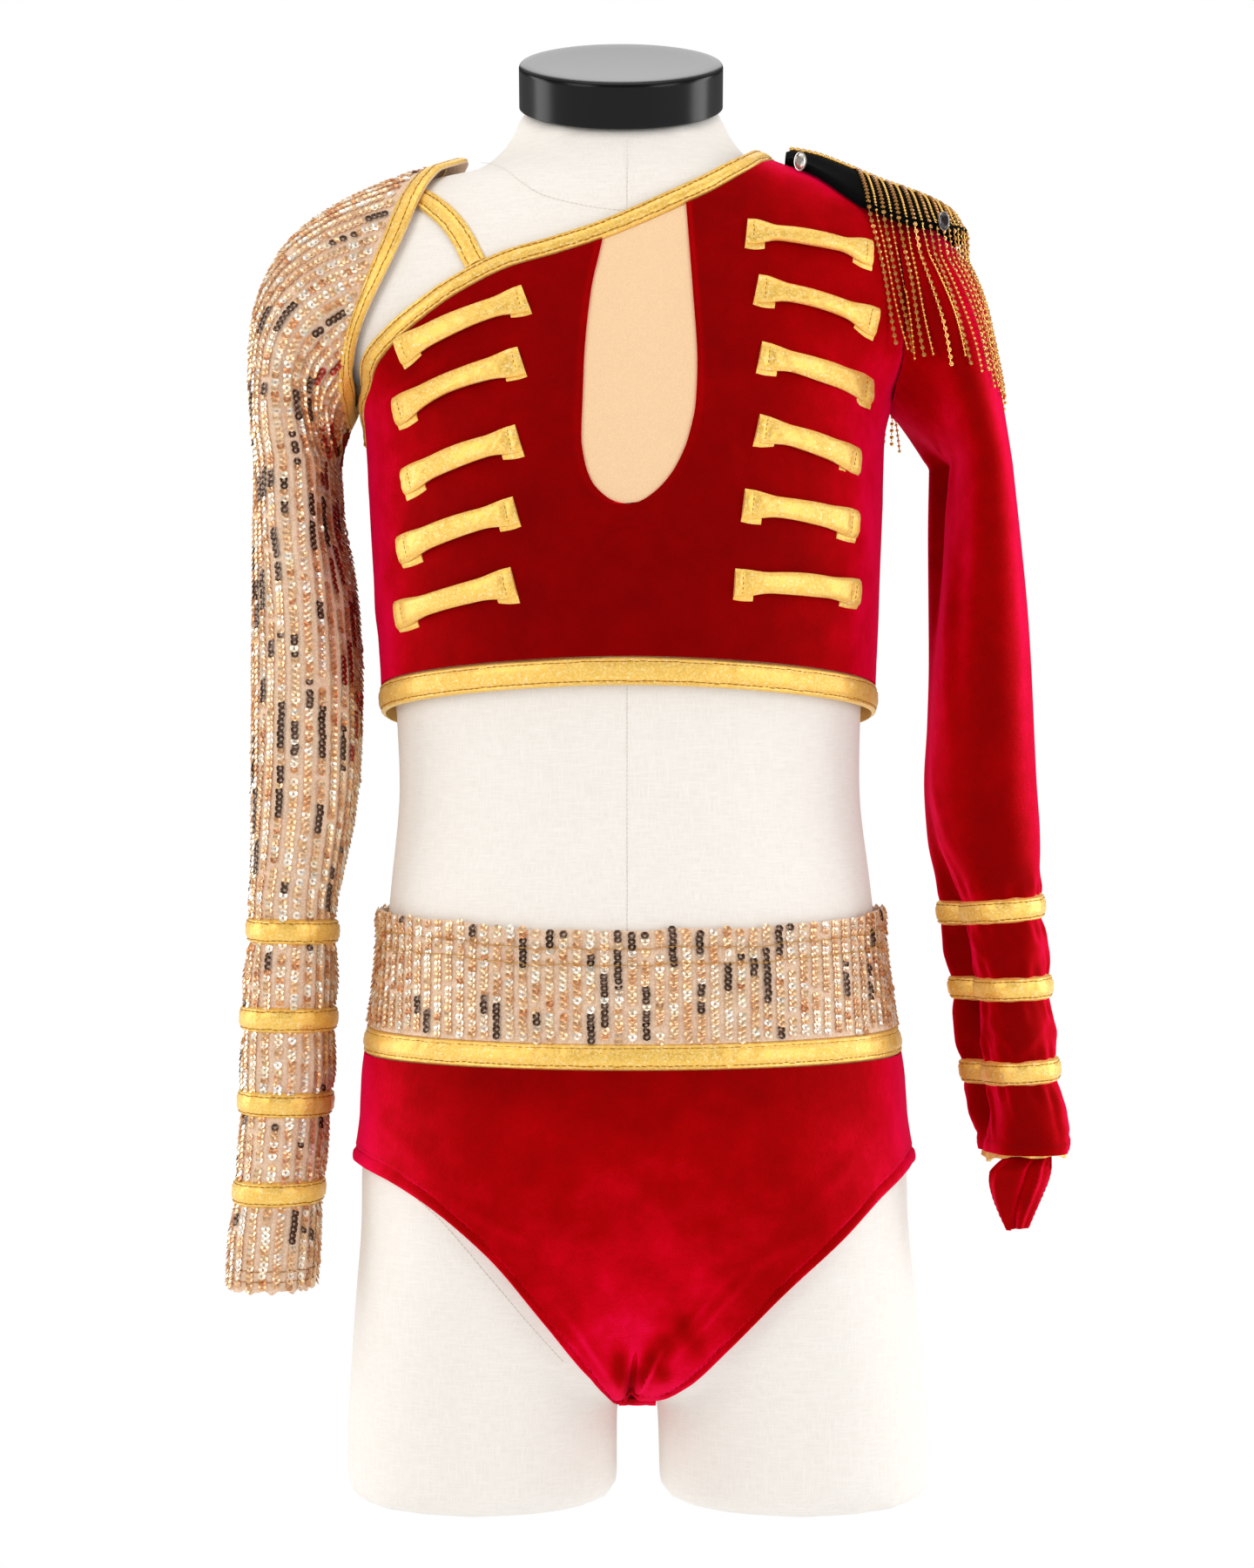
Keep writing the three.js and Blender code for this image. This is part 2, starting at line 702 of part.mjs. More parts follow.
function backPanel(cutters) {
  const range = { from: (z) => 2 * Math.PI - seamTurn(z), to: (z) => Math.PI + seamTurn(z), low: hemTop, high: backEdge };
  const s = addGrid(sheet(), 16, 11, (u, v) => panelPoint(top, u, 1 - (1 - v) ** 1.25, range));
  return largest(cutters.reduce((solid, c) => solid.subtract(c), toSolid(wallOf(s))));
}

// The bindings of front and back end a hair short of each other at the shoulder and the side
function neckBinding(line, way) {
  const whole = toSolid(ribbon(line, 22, NECK_TRIM / 2, { crown: 0.9 }));
  return largest(whole.trimByPlane([0, way, 0], SEAM / 2));
}

function hemBinding() {
  return wallOf(addGrid(sheet(), 36, 2, (u, v) => {
    const angle = u * 2 * Math.PI;
    return { ...top(angle, hemZ(angle) + HEM_TRIM * v), lo: 0, hi: TRIM - 0.8 * (2 * v - 1) ** 2 };
  }, true));
}

function strap(cutters) {
  const line = path(STRAP_LINE.map(({ angle, z }) => new THREE.Vector3(angle * 1.8, z, 0)));
  const on = (t) => {
    const q = line(t);
    return form((q.x / 1.8) * DEG, q.y);
  };
  const whole = toSolid(ribbon(on, 18, STRAP / 2, { lo: 0.5, hi: 1.8, crown: 0.2, rows: 1 }));
  return largest(cutters.reduce((solid, c) => solid.subtract(c), whole));
}

// A bar: a flattened loop of gold cloth tacked down at both ends, with the folded tabs below it
function bar({ x1, z1, x2, z2 }, sight) {
  const length = Math.hypot(x2 - x1, z2 - z1) + 5;
  const line = (t) => {
    const s = mix(-2.5, length - 2.5, t) / (length - 5);
    const z = mix(z1, z2, s) + 1.2 * Math.sin(Math.PI * clamp(s, 0, 1));
    return top(angleAt(mix(x1, x2, s) - leanAt(z), z), z);
  };
  const ends = [0, 9, 10].map((d) => d / length);
  const stops = [...ends, 0.36, 0.5, 0.64, ...ends.map((t) => 1 - t).reverse()];
  return wallOf(addGrid(sheet(), stops.length - 1, 1, (u, v, i) => {
    const t = stops[i];
    const here = line(t);
    const along = line(clamp(t + 0.02, 0, 1)).p.sub(line(clamp(t - 0.02, 0, 1)).p).normalize();
    const up = here.n.clone().cross(along).normalize();
    if (up.z < 0) up.negate();
    const end = Math.min(t, 1 - t);
    const low = end < 9.5 / length ? 6.8 : 5;
    const high = mix(6.2, 5, smooth(0, 0.25, end));
    const p = here.p.addScaledVector(up, v ? high : -low);
    const seen = 40 - sight(p.clone().addScaledVector(here.n, 40), here.n.clone().negate());
    const from = Math.max(seen, VELVET) + mix(0.72, 1.15, smooth(0, 8 / length, end)) + 1.3 * Math.sin(Math.PI * t);
    return { p, n: here.n, lo: from, hi: from + 1.3 };
  }));
}

// Sleeves. A point on the outer face of a hanging tube, by height and by turn round it: 0 outer side,
// 90 front, 180 inner side, 270 back
function tubePoint(t, z, turn, folds) {
  const [outer, inner, fold] = [t.outer(z), t.inner(z), t.fold(z)];
  const middle = (outer + Math.min(inner + 4, fold)) / 2 + 2;
  const c = Math.cos(turn);
  const s = Math.sin(turn);
  const innerReach = mix(middle - fold, middle - inner, smooth(168 * DEG, 200 * DEG, turn));
  const notch = clamp((fold - inner) / 8, 0, 1) * 5 * bump(turn, 182 * DEG, 12 * DEG);
  const across = c > 0 ? outer - middle : innerReach - notch;
  const deep = s > 0 ? t.front(z) : t.back(z);
  const r = ((Math.abs(c) / Math.max(across, 4)) ** 2.2 + (Math.abs(s) / deep) ** 2.2) ** (-1 / 2.2);
  const out = r + folds(z, turn);
  return new THREE.Vector3(middle + out * c, -out * s, z);
}

// Gathers between the bands of the velvet sleeve, and long soft folds above them
function velvetFolds(z, turn) {
  const pinch = VELVET_BANDS.reduce((sum, band) => sum + bump(z, band.z, 9), 0);
  const gathers = 0.8 * Math.sin(6 * turn + z / 19) * smooth(296, 276, z) * (1 - clamp(pinch, 0, 1));
  const long = 2.6 * bump(turn, 118 * DEG, 15 * DEG) * bump(z, 420, 90) +
    1.6 * bump(turn, 62 * DEG, 17 * DEG) * bump(z, 390, 80) + 2 * bump(turn, 235 * DEG, 16 * DEG) * bump(z, 400, 90);
  return gathers - long;
}
function sequinFolds(z, turn) {
  return -2.4 * bump(turn, 128 * DEG, 17 * DEG) * bump(z, 455, 70) -
    1.8 * bump(turn, 70 * DEG, 16 * DEG) * bump(z, 430, 60) - 2 * bump(turn, 230 * DEG, 16 * DEG) * bump(z, 430, 80);
}

const TURN = 2 * Math.PI;
const wrapTurn = (turn) => ((turn % TURN) + TURN) % TURN;

// How far a point is outside the form, and the way out
function outOfForm(p) {
  const gap = (x, y, z) => Math.hypot(x - leanAt(z), y) - formRadius(Math.atan2(-y, x - leanAt(z)), z);
  const e = 0.2;
  const here = gap(p.x, p.y, p.z);
  const way = new THREE.Vector3(gap(p.x + e, p.y, p.z) - gap(p.x - e, p.y, p.z),
    gap(p.x, p.y + e, p.z) - gap(p.x, p.y - e, p.z), gap(p.x, p.y, p.z + e) - gap(p.x, p.y, p.z - e))
    .multiplyScalar(0.5 / e);
  const steep = way.length();
  return { distance: here / steep, way: way.divideScalar(steep) };
}
// Moves a point out until the form is at least this far below it, softly
function clearOfForm(p, least) {
  const q = p.clone();
  for (let i = 0; i < 3; i++) {
    const { distance, way } = outOfForm(q);
    const wanted = -softMin(-distance, -least, 2);
    if (distance < least + 2) q.addScaledVector(way, Math.min(wanted - distance, 12));
  }
  return q;
}

// An armhole's rim as a closed loop by turn, from its front half
function rimOf(rows) {
  const front = rows.map(({ x, depth, z }) => new THREE.Vector3(x, -depth, z));
  const back = rows.slice(1, -1).reverse().map(({ x, depth, z }) => new THREE.Vector3(x, depth * 1.06, z));
  const line = new THREE.CatmullRomCurve3([...front, ...back], true, "centripetal");
  const whole = line.getLength();
  const front_share = new THREE.CatmullRomCurve3(front, false, "centripetal").getLength() / whole;
  return (turn) => {
    const t = wrapTurn(turn) / Math.PI;
    return line.getPointAt(t < 1 ? t * front_share : front_share + (t - 1) * (1 - front_share));
  };
}

// A sleeve's outer face by length down it in steps: 0 to 1 over the shoulder, then 1 to 2 down the tube
function sleeveFace({ side, rim, crown, tube, folds, least, spread, from, to }) {
  const crownLine = path(crown.map(({ x, z }) => new THREE.Vector3(x, 0, z)));
  const tubeAt = (z, turn) => {
    const p = tubePoint(tube, z, wrapTurn(turn), folds);
    p.x *= side;
    return p;
  };
  const memory = new Map();
  const cap = (turn) => {
    const key = Math.round(wrapTurn(turn) * 1e5);
    if (memory.has(key)) return memory.get(key);
    const start = rim(turn);
    const end = tubeAt(from, turn);
    const over = ((1 + Math.cos(turn)) / 2) ** 1.15;
    const [first, last] = [crownLine(0), crownLine(1)];
    const points = [];
    for (let i = 0; i <= 7; i++) {
      const t = i / 7;
      const straight = start.clone().lerp(end, t);
      const bulge = crownLine(t).sub(first.clone().lerp(last, t)).multiplyScalar(over);
      bulge.y = 6 * Math.sin(turn) * -Math.sin(Math.PI * t);
      bulge.x += side * spread * Math.abs(Math.sin(turn)) * Math.sin(Math.PI * t);
      points.push(clearOfForm(straight.add(bulge), t === 0 ? least : least + 0.3));
    }
    points.push(tubeAt(from - 14, turn));
    const line = new THREE.CatmullRomCurve3(points, false, "centripetal");
    const whole = line.getLength();
    const used = whole - points.at(-1).distanceTo(points.at(-2));
    memory.set(key, { line, whole, used });
    return memory.get(key);
  };
  const point = (t, turn) => {
    if (t >= 1) return tubeAt(mix(from, to, t - 1), turn);
    const { line, whole, used } = cap(turn);
    return line.getPointAt((t * used) / whole);
  };
  return {
    point,
    length: (turn) => cap(turn).used,
    at: (t, turn) => {
      const e = 2e-3;
      const down = point(t + e, turn).sub(point(Math.max(t - e, 0), turn));
      const round = point(t, turn + e).sub(point(t, turn - e));
      return { p: point(t, turn), n: round.cross(down).multiplyScalar(side).normalize() };
    },
  };
}

const TUBE_TOP = 470;
const VELVET_END = 157;
const SEQUIN_END = 95;
const velvetFace = sleeveFace({
  side: 1, rim: rimOf(VELVET_EDGE), crown: VELVET_CROWN, tube: curves(VELVET_TUBE), folds: velvetFolds,
  least: 2.7, spread: 0, from: TUBE_TOP, to: VELVET_END,
});
const sequinFace = sleeveFace({
  side: -1, rim: rimOf(SEQUIN_EDGE), crown: SEQUIN_CROWN,
  tube: (({ outer, inner, fold, front, back }) => ({ outer, inner, fold, front, back }))(curves(SEQUIN_TUBE)),
  folds: sequinFolds, least: 4.2, spread: 7, from: TUBE_TOP, to: SEQUIN_END,
});

const AROUND = 22;
const downTube = (z, end) => 1 + (TUBE_TOP - z) / (TUBE_TOP - end);
const velvetStops = [0, 0.12, 0.26, 0.42, 0.6, 0.8, 1,
  ...[435, 395, 350, 310, 275, 262, 249, 238, 226, 213, 200, 188, 176, 165, VELVET_END]
    .map((z) => downTube(z, VELVET_END))];
const sequinStops = [0, 0.15, 0.31, 0.47, 0.64, 0.82, 1,
  ...[435, 398, 360, 322, 285, 264, 252, 238, 224, 212, 199, 185.5, 173.5, 158, 145, 133, SEQUIN_END]
    .map((z) => downTube(z, SEQUIN_END))];

function velvetSleeve() {
  return wallOf(addGrid(sheet(), AROUND, velvetStops.length - 1, (u, v, i, j) =>
    ({ ...velvetFace.at(velvetStops[j], u * TURN), lo: -VELVET, hi: 0 }), true));
}
function sequinSleeve() {
  return wallOf(addGrid(sheet(), AROUND, sequinStops.length - 1, (u, v, i, j) => {
    const skip = (EDGE_TRIM + 3 * SEAM) / sequinFace.length(u * TURN);
    const t = sequinStops[j] < 1 ? mix(skip, 1, sequinStops[j]) : sequinStops[j];
    return { ...sequinFace.at(t, u * TURN), lo: -SEQUIN, hi: 0 };
  }, true));
}
function sequinRim() {
  return wallOf(addGrid(sheet(), AROUND, 1, (u, v) =>
    ({ ...sequinFace.at((v * EDGE_TRIM) / sequinFace.length(u * TURN), u * TURN), lo: -SEQUIN, hi: 0.5 }), true));
}

// What the armhole of the top is cut with: everything beyond the velvet sleeve's seam
function armholeCutter() {
  const loop = Array.from({ length: AROUND }, (_, i) => velvetFace.at(0, (i / AROUND) * TURN));
  const middle = loop.reduce((sum, { p }) => sum.add(p), new THREE.Vector3()).divideScalar(AROUND);
  const ring = (out, shift, grow) => loop.map(({ p }) => {
    const { way } = outOfForm(p);
    const spread = p.clone().sub(middle).setX(0).normalize().multiplyScalar(grow);
    return p.clone().addScaledVector(way, out).add(spread).add(new THREE.Vector3(shift - 2 * SEAM, 0, 0));
  });
  return toSolid(loft([ring(-6, -0.5, 0), ring(0, 0, 0.3), ring(5, 0, 0.5), ring(8, 90, 30)]));
}

function band(face, end, { z, slope }, { width = BAND, lo = 0.9, hi = 2.1 } = {}) {
  return wallOf(addGrid(sheet(), AROUND, 1, (u, v) => {
    const turn = u * TURN;
    const at = z - slope * 20 * Math.cos(turn) + width * (v - 0.5);
    return { ...face.at(downTube(at, end), turn), lo, hi };
  }, true));
}

// The gold binding folded under the cuff, and the velvet point that hangs from it over the hand
const cuffBinding = () =>
  band(velvetFace, VELVET_END, { z: VELVET_END + 4, slope: 0 }, { width: 12, lo: -VELVET - 2.1, hi: -VELVET - 1.35 });

function handPoint() {
  const rows = curves(HAND_POINT);
  const inner = (z, turn) => {
    const { p, n } = velvetFace.at(downTube(z, VELVET_END), turn);
    return { p: p.addScaledVector(n, -VELVET - 6), n };
  };
  const stops = [165, 157, 151, 144, 136, 129, 122];
  return wallOf(addGrid(sheet(), 8, stops.length - 1, (u, v, i, j) => {
    const z = stops[j];
    const at = Math.min(z, 152);
    const turn = (90 + (u - 0.5) * 2 * rows.spread(at)) * DEG;
    const drop = u > 0.5 ? 3 * (u - 0.5) : 0;
    const p = new THREE.Vector3(rows.centre(at) + rows.half(at) * Math.cos(turn),
      -rows.front(at) + rows.half(at) * 0.62 * (1 - Math.sin(turn)), z - drop);
    const n = new THREE.Vector3(Math.cos(turn), -Math.sin(turn), 0);
    const top = inner(z, (90 + (u - 0.5) * 84) * DEG);
    const share = smooth(150, 160, z);
    return { p: p.lerp(top.p, share), n: n.lerp(top.n, share).normalize(), lo: -VELVET, hi: 0 };
  }));
}

// Looks at the cloth along a direction and finds how far it is
function sightOn(...geometries) {
  const meshes = geometries.map((g) => new THREE.Mesh(g, new THREE.MeshBasicMaterial({ side: THREE.DoubleSide })));
  const ray = new THREE.Raycaster();
  return (from, way) => {
    ray.set(from, way);
    const hits = ray.intersectObjects(meshes);
    return hits.length ? hits[0].distance : Infinity;
  };
}

// The board on the shoulder and all that hangs from it
const board = curves(BOARD, "x");
const BOARD_THICK = 3;
const boardPoint = (sight, x, share) => {
  const y = share * board.reach(x);
  const z = board.z(x) - board.drop(x) * Math.abs(share) ** 1.7;
  const seen = 700 - sight(new THREE.Vector3(x, y, 700), new THREE.Vector3(0, 0, -1));
  return new THREE.Vector3(x, y, Math.max(z, seen + 2.6));
};
function shoulderBoard(sight) {
  const stations = BOARD.map(({ x }) => x);
  return wallOf(addGrid(sheet(), stations.length - 1, 6, (u, v, i) => ({
    p: boardPoint(sight, stations[i], mix(-1, 1, v)), n: new THREE.Vector3(0, 0, 1), lo: 0, hi: BOARD_THICK,
  })));
}
function boardRim(sight) {
  const stations = BOARD.map(({ x }) => x);
  const front = stations.map((x) => boardPoint(sight, x, -1));
  const back = [...stations].reverse().map((x) => boardPoint(sight, x, 1));
  const line = path([...front, ...back]);
  return (t) => {
    const p = line(t);
    const along = line(clamp(t + 5e-3, 0, 1)).sub(line(clamp(t - 5e-3, 0, 1)));
    return { p, n: new THREE.Vector3(along.y, -along.x, 0).normalize() };
  };
}
const STRANDS = 40;
const STRAND = 64;
const DRIFT = 13; // how far a front strand's end hangs towards the arm from its root
const FRINGE_FROM = 0.19; // share of the board's rim where the strands start, and where they end
const FRINGE_TO = 0.8;
const fringeStrip = (rim, t, rise) => {
  const { p, n } = rim(t);
  return { p: p.clone().add(new THREE.Vector3(0, 0, rise)), n, lo: 0.4, hi: 1.9 };
};
// A strand hangs straight where it can and lies on the cloth where that is in its way
function strandLine(rim, sight, k) {
  const share = mix(FRINGE_FROM + 0.004, FRINGE_TO - 0.004, k / (STRANDS - 1));
  const { p, n } = rim(share);
  const way = new THREE.Vector3(Math.max(n.x, 0), n.y, 0).normalize();
  const length = STRAND + 12 * smooth(0.3, 0.42, share) + 20 * smooth(0.5, 0.6, share) + 2.2 * Math.sin(k * 2.4) + 1.4 * Math.sin(k * 5.1);
  const dense = [];
  let reach = 1.1;
  let z = p.z + 1.6;
  for (let used = 0, i = 0; used < length; i++) {
    const sway = 0.02 * i * Math.sin(k * 1.7 + i / 4);
    const at = p.clone().setZ(z).add(new THREE.Vector3(-way.y * sway, way.x * sway, 0));
    at.x += DRIFT * Math.max(-n.y, 0) * clamp((p.z - z) / STRAND, 0, 1);
    const seen = 260 - sight(at.clone().addScaledVector(way, 260), way.clone().negate());
    const next = i ? Math.max(reach, seen + 4) : reach;
    used += i ? Math.hypot(next - reach, 2.5) : 0;
    reach = next;
    dense.push({ at, reach });
    z -= 2.5;
  }
  return { dense, way };
}
function chainFringe(rim, sight) {
  let all = toSolid(wallOf(addGrid(sheet(), 36, 1, (u, v) =>
    fringeStrip(rim, mix(FRINGE_FROM, FRINGE_TO, u), mix(-0.4, 2.9, v)))));
  for (let k = 0; k < STRANDS; k++) {
    const { dense, way } = strandLine(rim, sight, k);
    const stops = [0, 0.26, 0.6, 1].map((share) => Math.round(share * (dense.length - 1)));
    const raise = stops.map((i) => dense[i].reach);
    for (let c = 1; c < stops.length; c++)
      for (let i = stops[c - 1]; i <= stops[c]; i++) {
        const chord = mix(raise[c - 1], raise[c], (i - stops[c - 1]) / (stops[c] - stops[c - 1]));
        const short = dense[i].reach - chord;
        if (short > 0) raise[c] += short * 1.8;
      }
    const rings = stops.map((i, c) => {
      const middle = dense[i].at.clone().addScaledVector(way, raise[c]);
      return [0, 1, 2].map((corner) => {
        const a = (corner / 3) * TURN;
        const side = new THREE.Vector3(-way.y, way.x, 0).multiplyScalar(0.85 * Math.sin(a));
        return middle.clone().addScaledVector(way, 0.85 * Math.cos(a)).add(side);
      });
    });
    all = all.add(toSolid(loft(rings)));
  }
  return fromSolid(all);
}
// Rows of ball chain lie along the board's ridge
function boardTrim(sight) {
  return wallOf(addGrid(sheet(), 28, 2, (u, v) => {
    const x = mix(75, 151, u);
    const q = new THREE.Vector3(x, mix(-0.12, 0.12, v) * board.reach(x), 700);
    const seen = 700 - sight(q, new THREE.Vector3(0, 0, -1));
    return { p: q.setZ(seen), n: new THREE.Vector3(0, 0, 1), lo: 0.7, hi: 2.8 };
  }));
}
function oval(rim, t, out) {
  const { p, n } = rim(t);
  const g = new THREE.SphereGeometry(1, 8, 5);
  g.scale(3.1, 2.2, 4.2);
  g.rotateZ(Math.atan2(n.y, n.x) - Math.PI / 2);
  g.translate(p.x + n.x * out, p.y + n.y * out, p.z + 3.5);
  return fromSolid(toSolid(g));
}

// Briefs, their waistband and the binding between them, by angle round the form
const beltLow = (angle) => 202.8 - 2 * Math.sin(angle);
const beltHigh = (angle) => beltLow(angle) + 12 - 1.2 * Math.sin(angle);
const waistTop = (angle) => {
  const s = Math.sin(angle);
  return 268 - 7 * Math.max(s, 0) ** 1.3 + 2 * Math.max(-s, 0);
};
const legLine = curves(LEG_LINE, "x");
const GUSSET_HALF = 8.4;

function legEdge(front) {
  const rows = [];
  for (const side of [1, -1])
    for (let x = 0; x <= 124; x += 2) {
      const key = front ? (side > 0 ? "right" : "left") : "back";
      const z = legLine[key](x);
      const reach = (a) => hipRadius(front ? a : -a, z) * Math.cos(a) - side * x;
      if (reach(0) < 0 || reach(Math.PI) > 0) continue;
      const a = root(reach, 0, Math.PI);
      rows.push({ angle: front ? a : TURN - a, z });
    }
  rows.push({ angle: front ? 0 : TURN, z: 154 }, { angle: Math.PI, z: 154 });
  rows.sort((a, b) => a.angle - b.angle);
  return curve(rows.filter((r, i, all) => i === 0 || r.angle - all[i - 1].angle > 0.006), "angle", "z");
}

function briefsPanel(front) {
  const edge = legEdge(front);
  const turn = (SEAM / 2 + 0.02) / 122;
  const [from, to] = front ? [turn, Math.PI - turn] : [Math.PI + turn, TURN - turn];
  // Columns stand closer together over the crotch, where the edge bends most
  const column = (u) => u - 0.055 * Math.sin(2 * TURN * u) / 2;
  return wallOf(addGrid(sheet(), 20, 6, (u, v) => {
    const angle = mix(from, to, column(u));
    return { ...hip(angle, mix(edge(angle), beltLow(angle) - SEAM, v ** 1.3)), lo: 0, hi: VELVET };
  }));
}

function gusset() {
  const front = hip(Math.PI / 2, 54);
  const back = hip(-Math.PI / 2, 55);
  const f = front.p.addScaledVector(front.n, VELVET / 2);
  const b = back.p.addScaledVector(back.n, VELVET / 2);
  const middle = leanAt(50);
  const line = path([
    new THREE.Vector3(middle, f.y + 1.4, 53),
    new THREE.Vector3(middle, f.y + 4, 50.2),
    new THREE.Vector3(middle, f.y + 13, 48.9),
    new THREE.Vector3(middle, 0, 48.6),
    new THREE.Vector3(middle, b.y - 13, 48.9),
    new THREE.Vector3(middle, b.y - 4, 50.4),
    new THREE.Vector3(middle, b.y - 1.4, 54),
  ]);
  return wallOf(addGrid(sheet(), 12, 1, (t, v) => {
    const along = line(clamp(t + 5e-3, 0, 1)).sub(line(clamp(t - 5e-3, 0, 1))).normalize();
    const n = new THREE.Vector3(0, along.z, -along.y);
    const half = mix(7.4, GUSSET_HALF, Math.abs(2 * t - 1) ** 3);
    return { p: line(t).add(new THREE.Vector3(mix(-half, half, v), 0, 0)), n, lo: -VELVET / 2, hi: VELVET / 2 };
  }));
}

const hipRing = (low, high, hi, crown, rows) => wallOf(addGrid(sheet(), 36, rows, (u, v) => {
  const angle = u * TURN;
  return { ...hip(angle, mix(low(angle), high(angle), v)), lo: 0, hi: hi - crown * (2 * v - 1) ** 2 };
}, true));

// The whole: name, colour and shape of each piece
const RED = 0x8c0412;
const GOLD = 0xe9b64c;
const neckCutters = [bindingCutter(neckFront), bindingCutter(neckBack)];
const cutters = [armholeCutter(), ...neckCutters];
const front = frontPanel(cutters);
const back = backPanel(cutters);
const sleeve = velvetSleeve();
const neckF = neckBinding(neckFront, -1);
const neckB = neckBinding(neckBack, 1);
const clothSight = sightOn(front, neckF);
const bars = BARS.map((row) => bar(row, clothSight));
const boardSight = sightOn(front, back, sleeve, neckF, neckB);
const shoulder = shoulderBoard(boardSight);
const rim = boardRim(boardSight);
const fringeSight = sightOn(front, back, sleeve, neckF, neckB, ...bars.slice(5, 9));

const pieces = [
  ["dress_form", 0xf1ece4, dressForm()],
  ["neck_cap", 0x2c2d33, neckCap()],
  ["top_front", RED, front],
  ["top_back", RED, back],
  ["keyhole_mesh", 0xf2cfa6, keyholeMesh(neckCutters[0])],
  ["neck_binding_front", GOLD, neckF],
  ["neck_binding_back", GOLD, neckB],
  ["hem_binding", GOLD, hemBinding()],
  ["shoulder_strap", GOLD, strap(neckCutters)],
  ...BARS.map((row, i) => [row.name, GOLD, bars[i]]),
  ["velvet_sleeve", RED, sleeve],
  ...VELVET_BANDS.map((row) => [row.name, GOLD, band(velvetFace, VELVET_END, row)]),
  ["cuff_binding", GOLD, cuffBinding()],
  ["hand_point", RED, handPoint()],
  ["sequin_sleeve", 0xc9a585, sequinSleeve()],
  ["sleeve_rim_binding", GOLD, sequinRim()],
  ...SEQUIN_BANDS.map((row) => [row.name, GOLD, band(sequinFace, SEQUIN_END, row)]),
  ["shoulder_board", 0x1b1a1d, shoulder],
  ["chain_fringe", 0xc9a24e, chainFringe(rim, fringeSight)],
  ["board_trim", 0xd9b45c, boardTrim(sightOn(shoulder))],
  ["oval_stone_neck", 0xd8d8dc, oval(rim, 0.04, 2.4)],
  ["oval_stone_arm", 0x3a2c30, oval(rim, 0.34, 4.6)],
  ["briefs_front", RED, briefsPanel(true)],
  ["briefs_back", RED, briefsPanel(false)],
  ["gusset", RED, gusset()],
  ["belt_binding", GOLD, hipRing(beltLow, beltHigh, 2.4, 0.7, 1)],
  ["waistband", 0xb98f72, hipRing((a) => beltHigh(a) + SEAM, waistTop, SEQUIN, 0, 1)],
];

const part = new THREE.Group();
part.name = "dance_costume";
for (const [name, color, geometry] of pieces) {
  geometry.translate(CENTRE_X, CENTRE_Y, 0);
  const mesh = new THREE.Mesh(geometry, new THREE.MeshStandardMaterial({ color, roughness: 0.7 }));
  mesh.name = name;
  part.add(mesh);
}
export default part;
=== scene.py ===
"""A two-piece dance costume on its linen dress form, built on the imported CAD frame.

Lengths are in millimetres until mesh() turns them into the frame's metres. The form's axis leans a
little, so a place on it is given by an angle round that axis (0 at the wearer's left, 90 at the front)
and a height. Cloth is a thin wall on such a surface, and each small thing on it (stitch, sequin, ball,
cup) is one template set down many times along a line on that wall."""
import math

import bpy
import numpy as np
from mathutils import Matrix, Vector
from mathutils.bvhtree import BVHTree


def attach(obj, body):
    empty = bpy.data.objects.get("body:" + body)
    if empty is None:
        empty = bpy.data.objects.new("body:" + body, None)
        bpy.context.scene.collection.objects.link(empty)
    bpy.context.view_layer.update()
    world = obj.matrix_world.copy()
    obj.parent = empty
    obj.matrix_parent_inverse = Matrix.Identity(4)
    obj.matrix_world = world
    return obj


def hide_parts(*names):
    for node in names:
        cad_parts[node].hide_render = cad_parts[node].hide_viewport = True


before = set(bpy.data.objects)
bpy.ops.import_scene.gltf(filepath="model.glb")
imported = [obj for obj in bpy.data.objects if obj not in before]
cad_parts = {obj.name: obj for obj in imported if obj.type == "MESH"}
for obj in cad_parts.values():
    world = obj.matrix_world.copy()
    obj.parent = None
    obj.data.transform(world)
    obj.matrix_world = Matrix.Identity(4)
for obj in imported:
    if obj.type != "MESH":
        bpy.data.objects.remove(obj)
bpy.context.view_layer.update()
SHIFT = np.array([-10.2, -6.35, 0.0])  # from the form's axis to the middle of the frame
CAMERA_FROM, CAMERA_HIGH = 1600, 325
TURN = 2 * math.pi
VELVET_THICK = 1.5
HALF_SEAM = 0.17  # half the gap between two pieces that are sewn together
rng = np.random.default_rng(7)

# Camera
camera = bpy.data.objects.new("camera", bpy.data.cameras.new("camera"))
bpy.context.scene.collection.objects.link(camera)
camera.data.sensor_fit = "VERTICAL"
camera.data.sensor_height = 36
camera.data.lens = 80  # mm, as the sensor's height
camera.data.dof.use_dof = False
camera.location = (SHIFT[0] / 1000, (SHIFT[1] - CAMERA_FROM) / 1000, CAMERA_HIGH / 1000)
camera.rotation_euler = (math.pi / 2, 0, 0)
bpy.context.scene.camera = camera


# Small mathematics
def mix(a, b, t):
    """a at t = 0 and b at t = 1, in a straight line."""
    return a + (b - a) * t


def bump(x, middle, width):
    """1 at the middle, falling off as exp(-d * d), where d is the distance in widths."""
    return np.exp(-(((x - middle) / width) ** 2))


def smooth(lo, hi, x):
    """0 at lo, 1 at hi and 3 t^2 - 2 t^3 between them, level beyond both."""
    t = np.clip((x - lo) / (hi - lo), 0, 1)
    return t * t * (3 - 2 * t)


def unit(v):
    """Vectors over their own lengths."""
    return v / np.maximum(np.linalg.norm(v, axis=-1, keepdims=True), 1e-9)


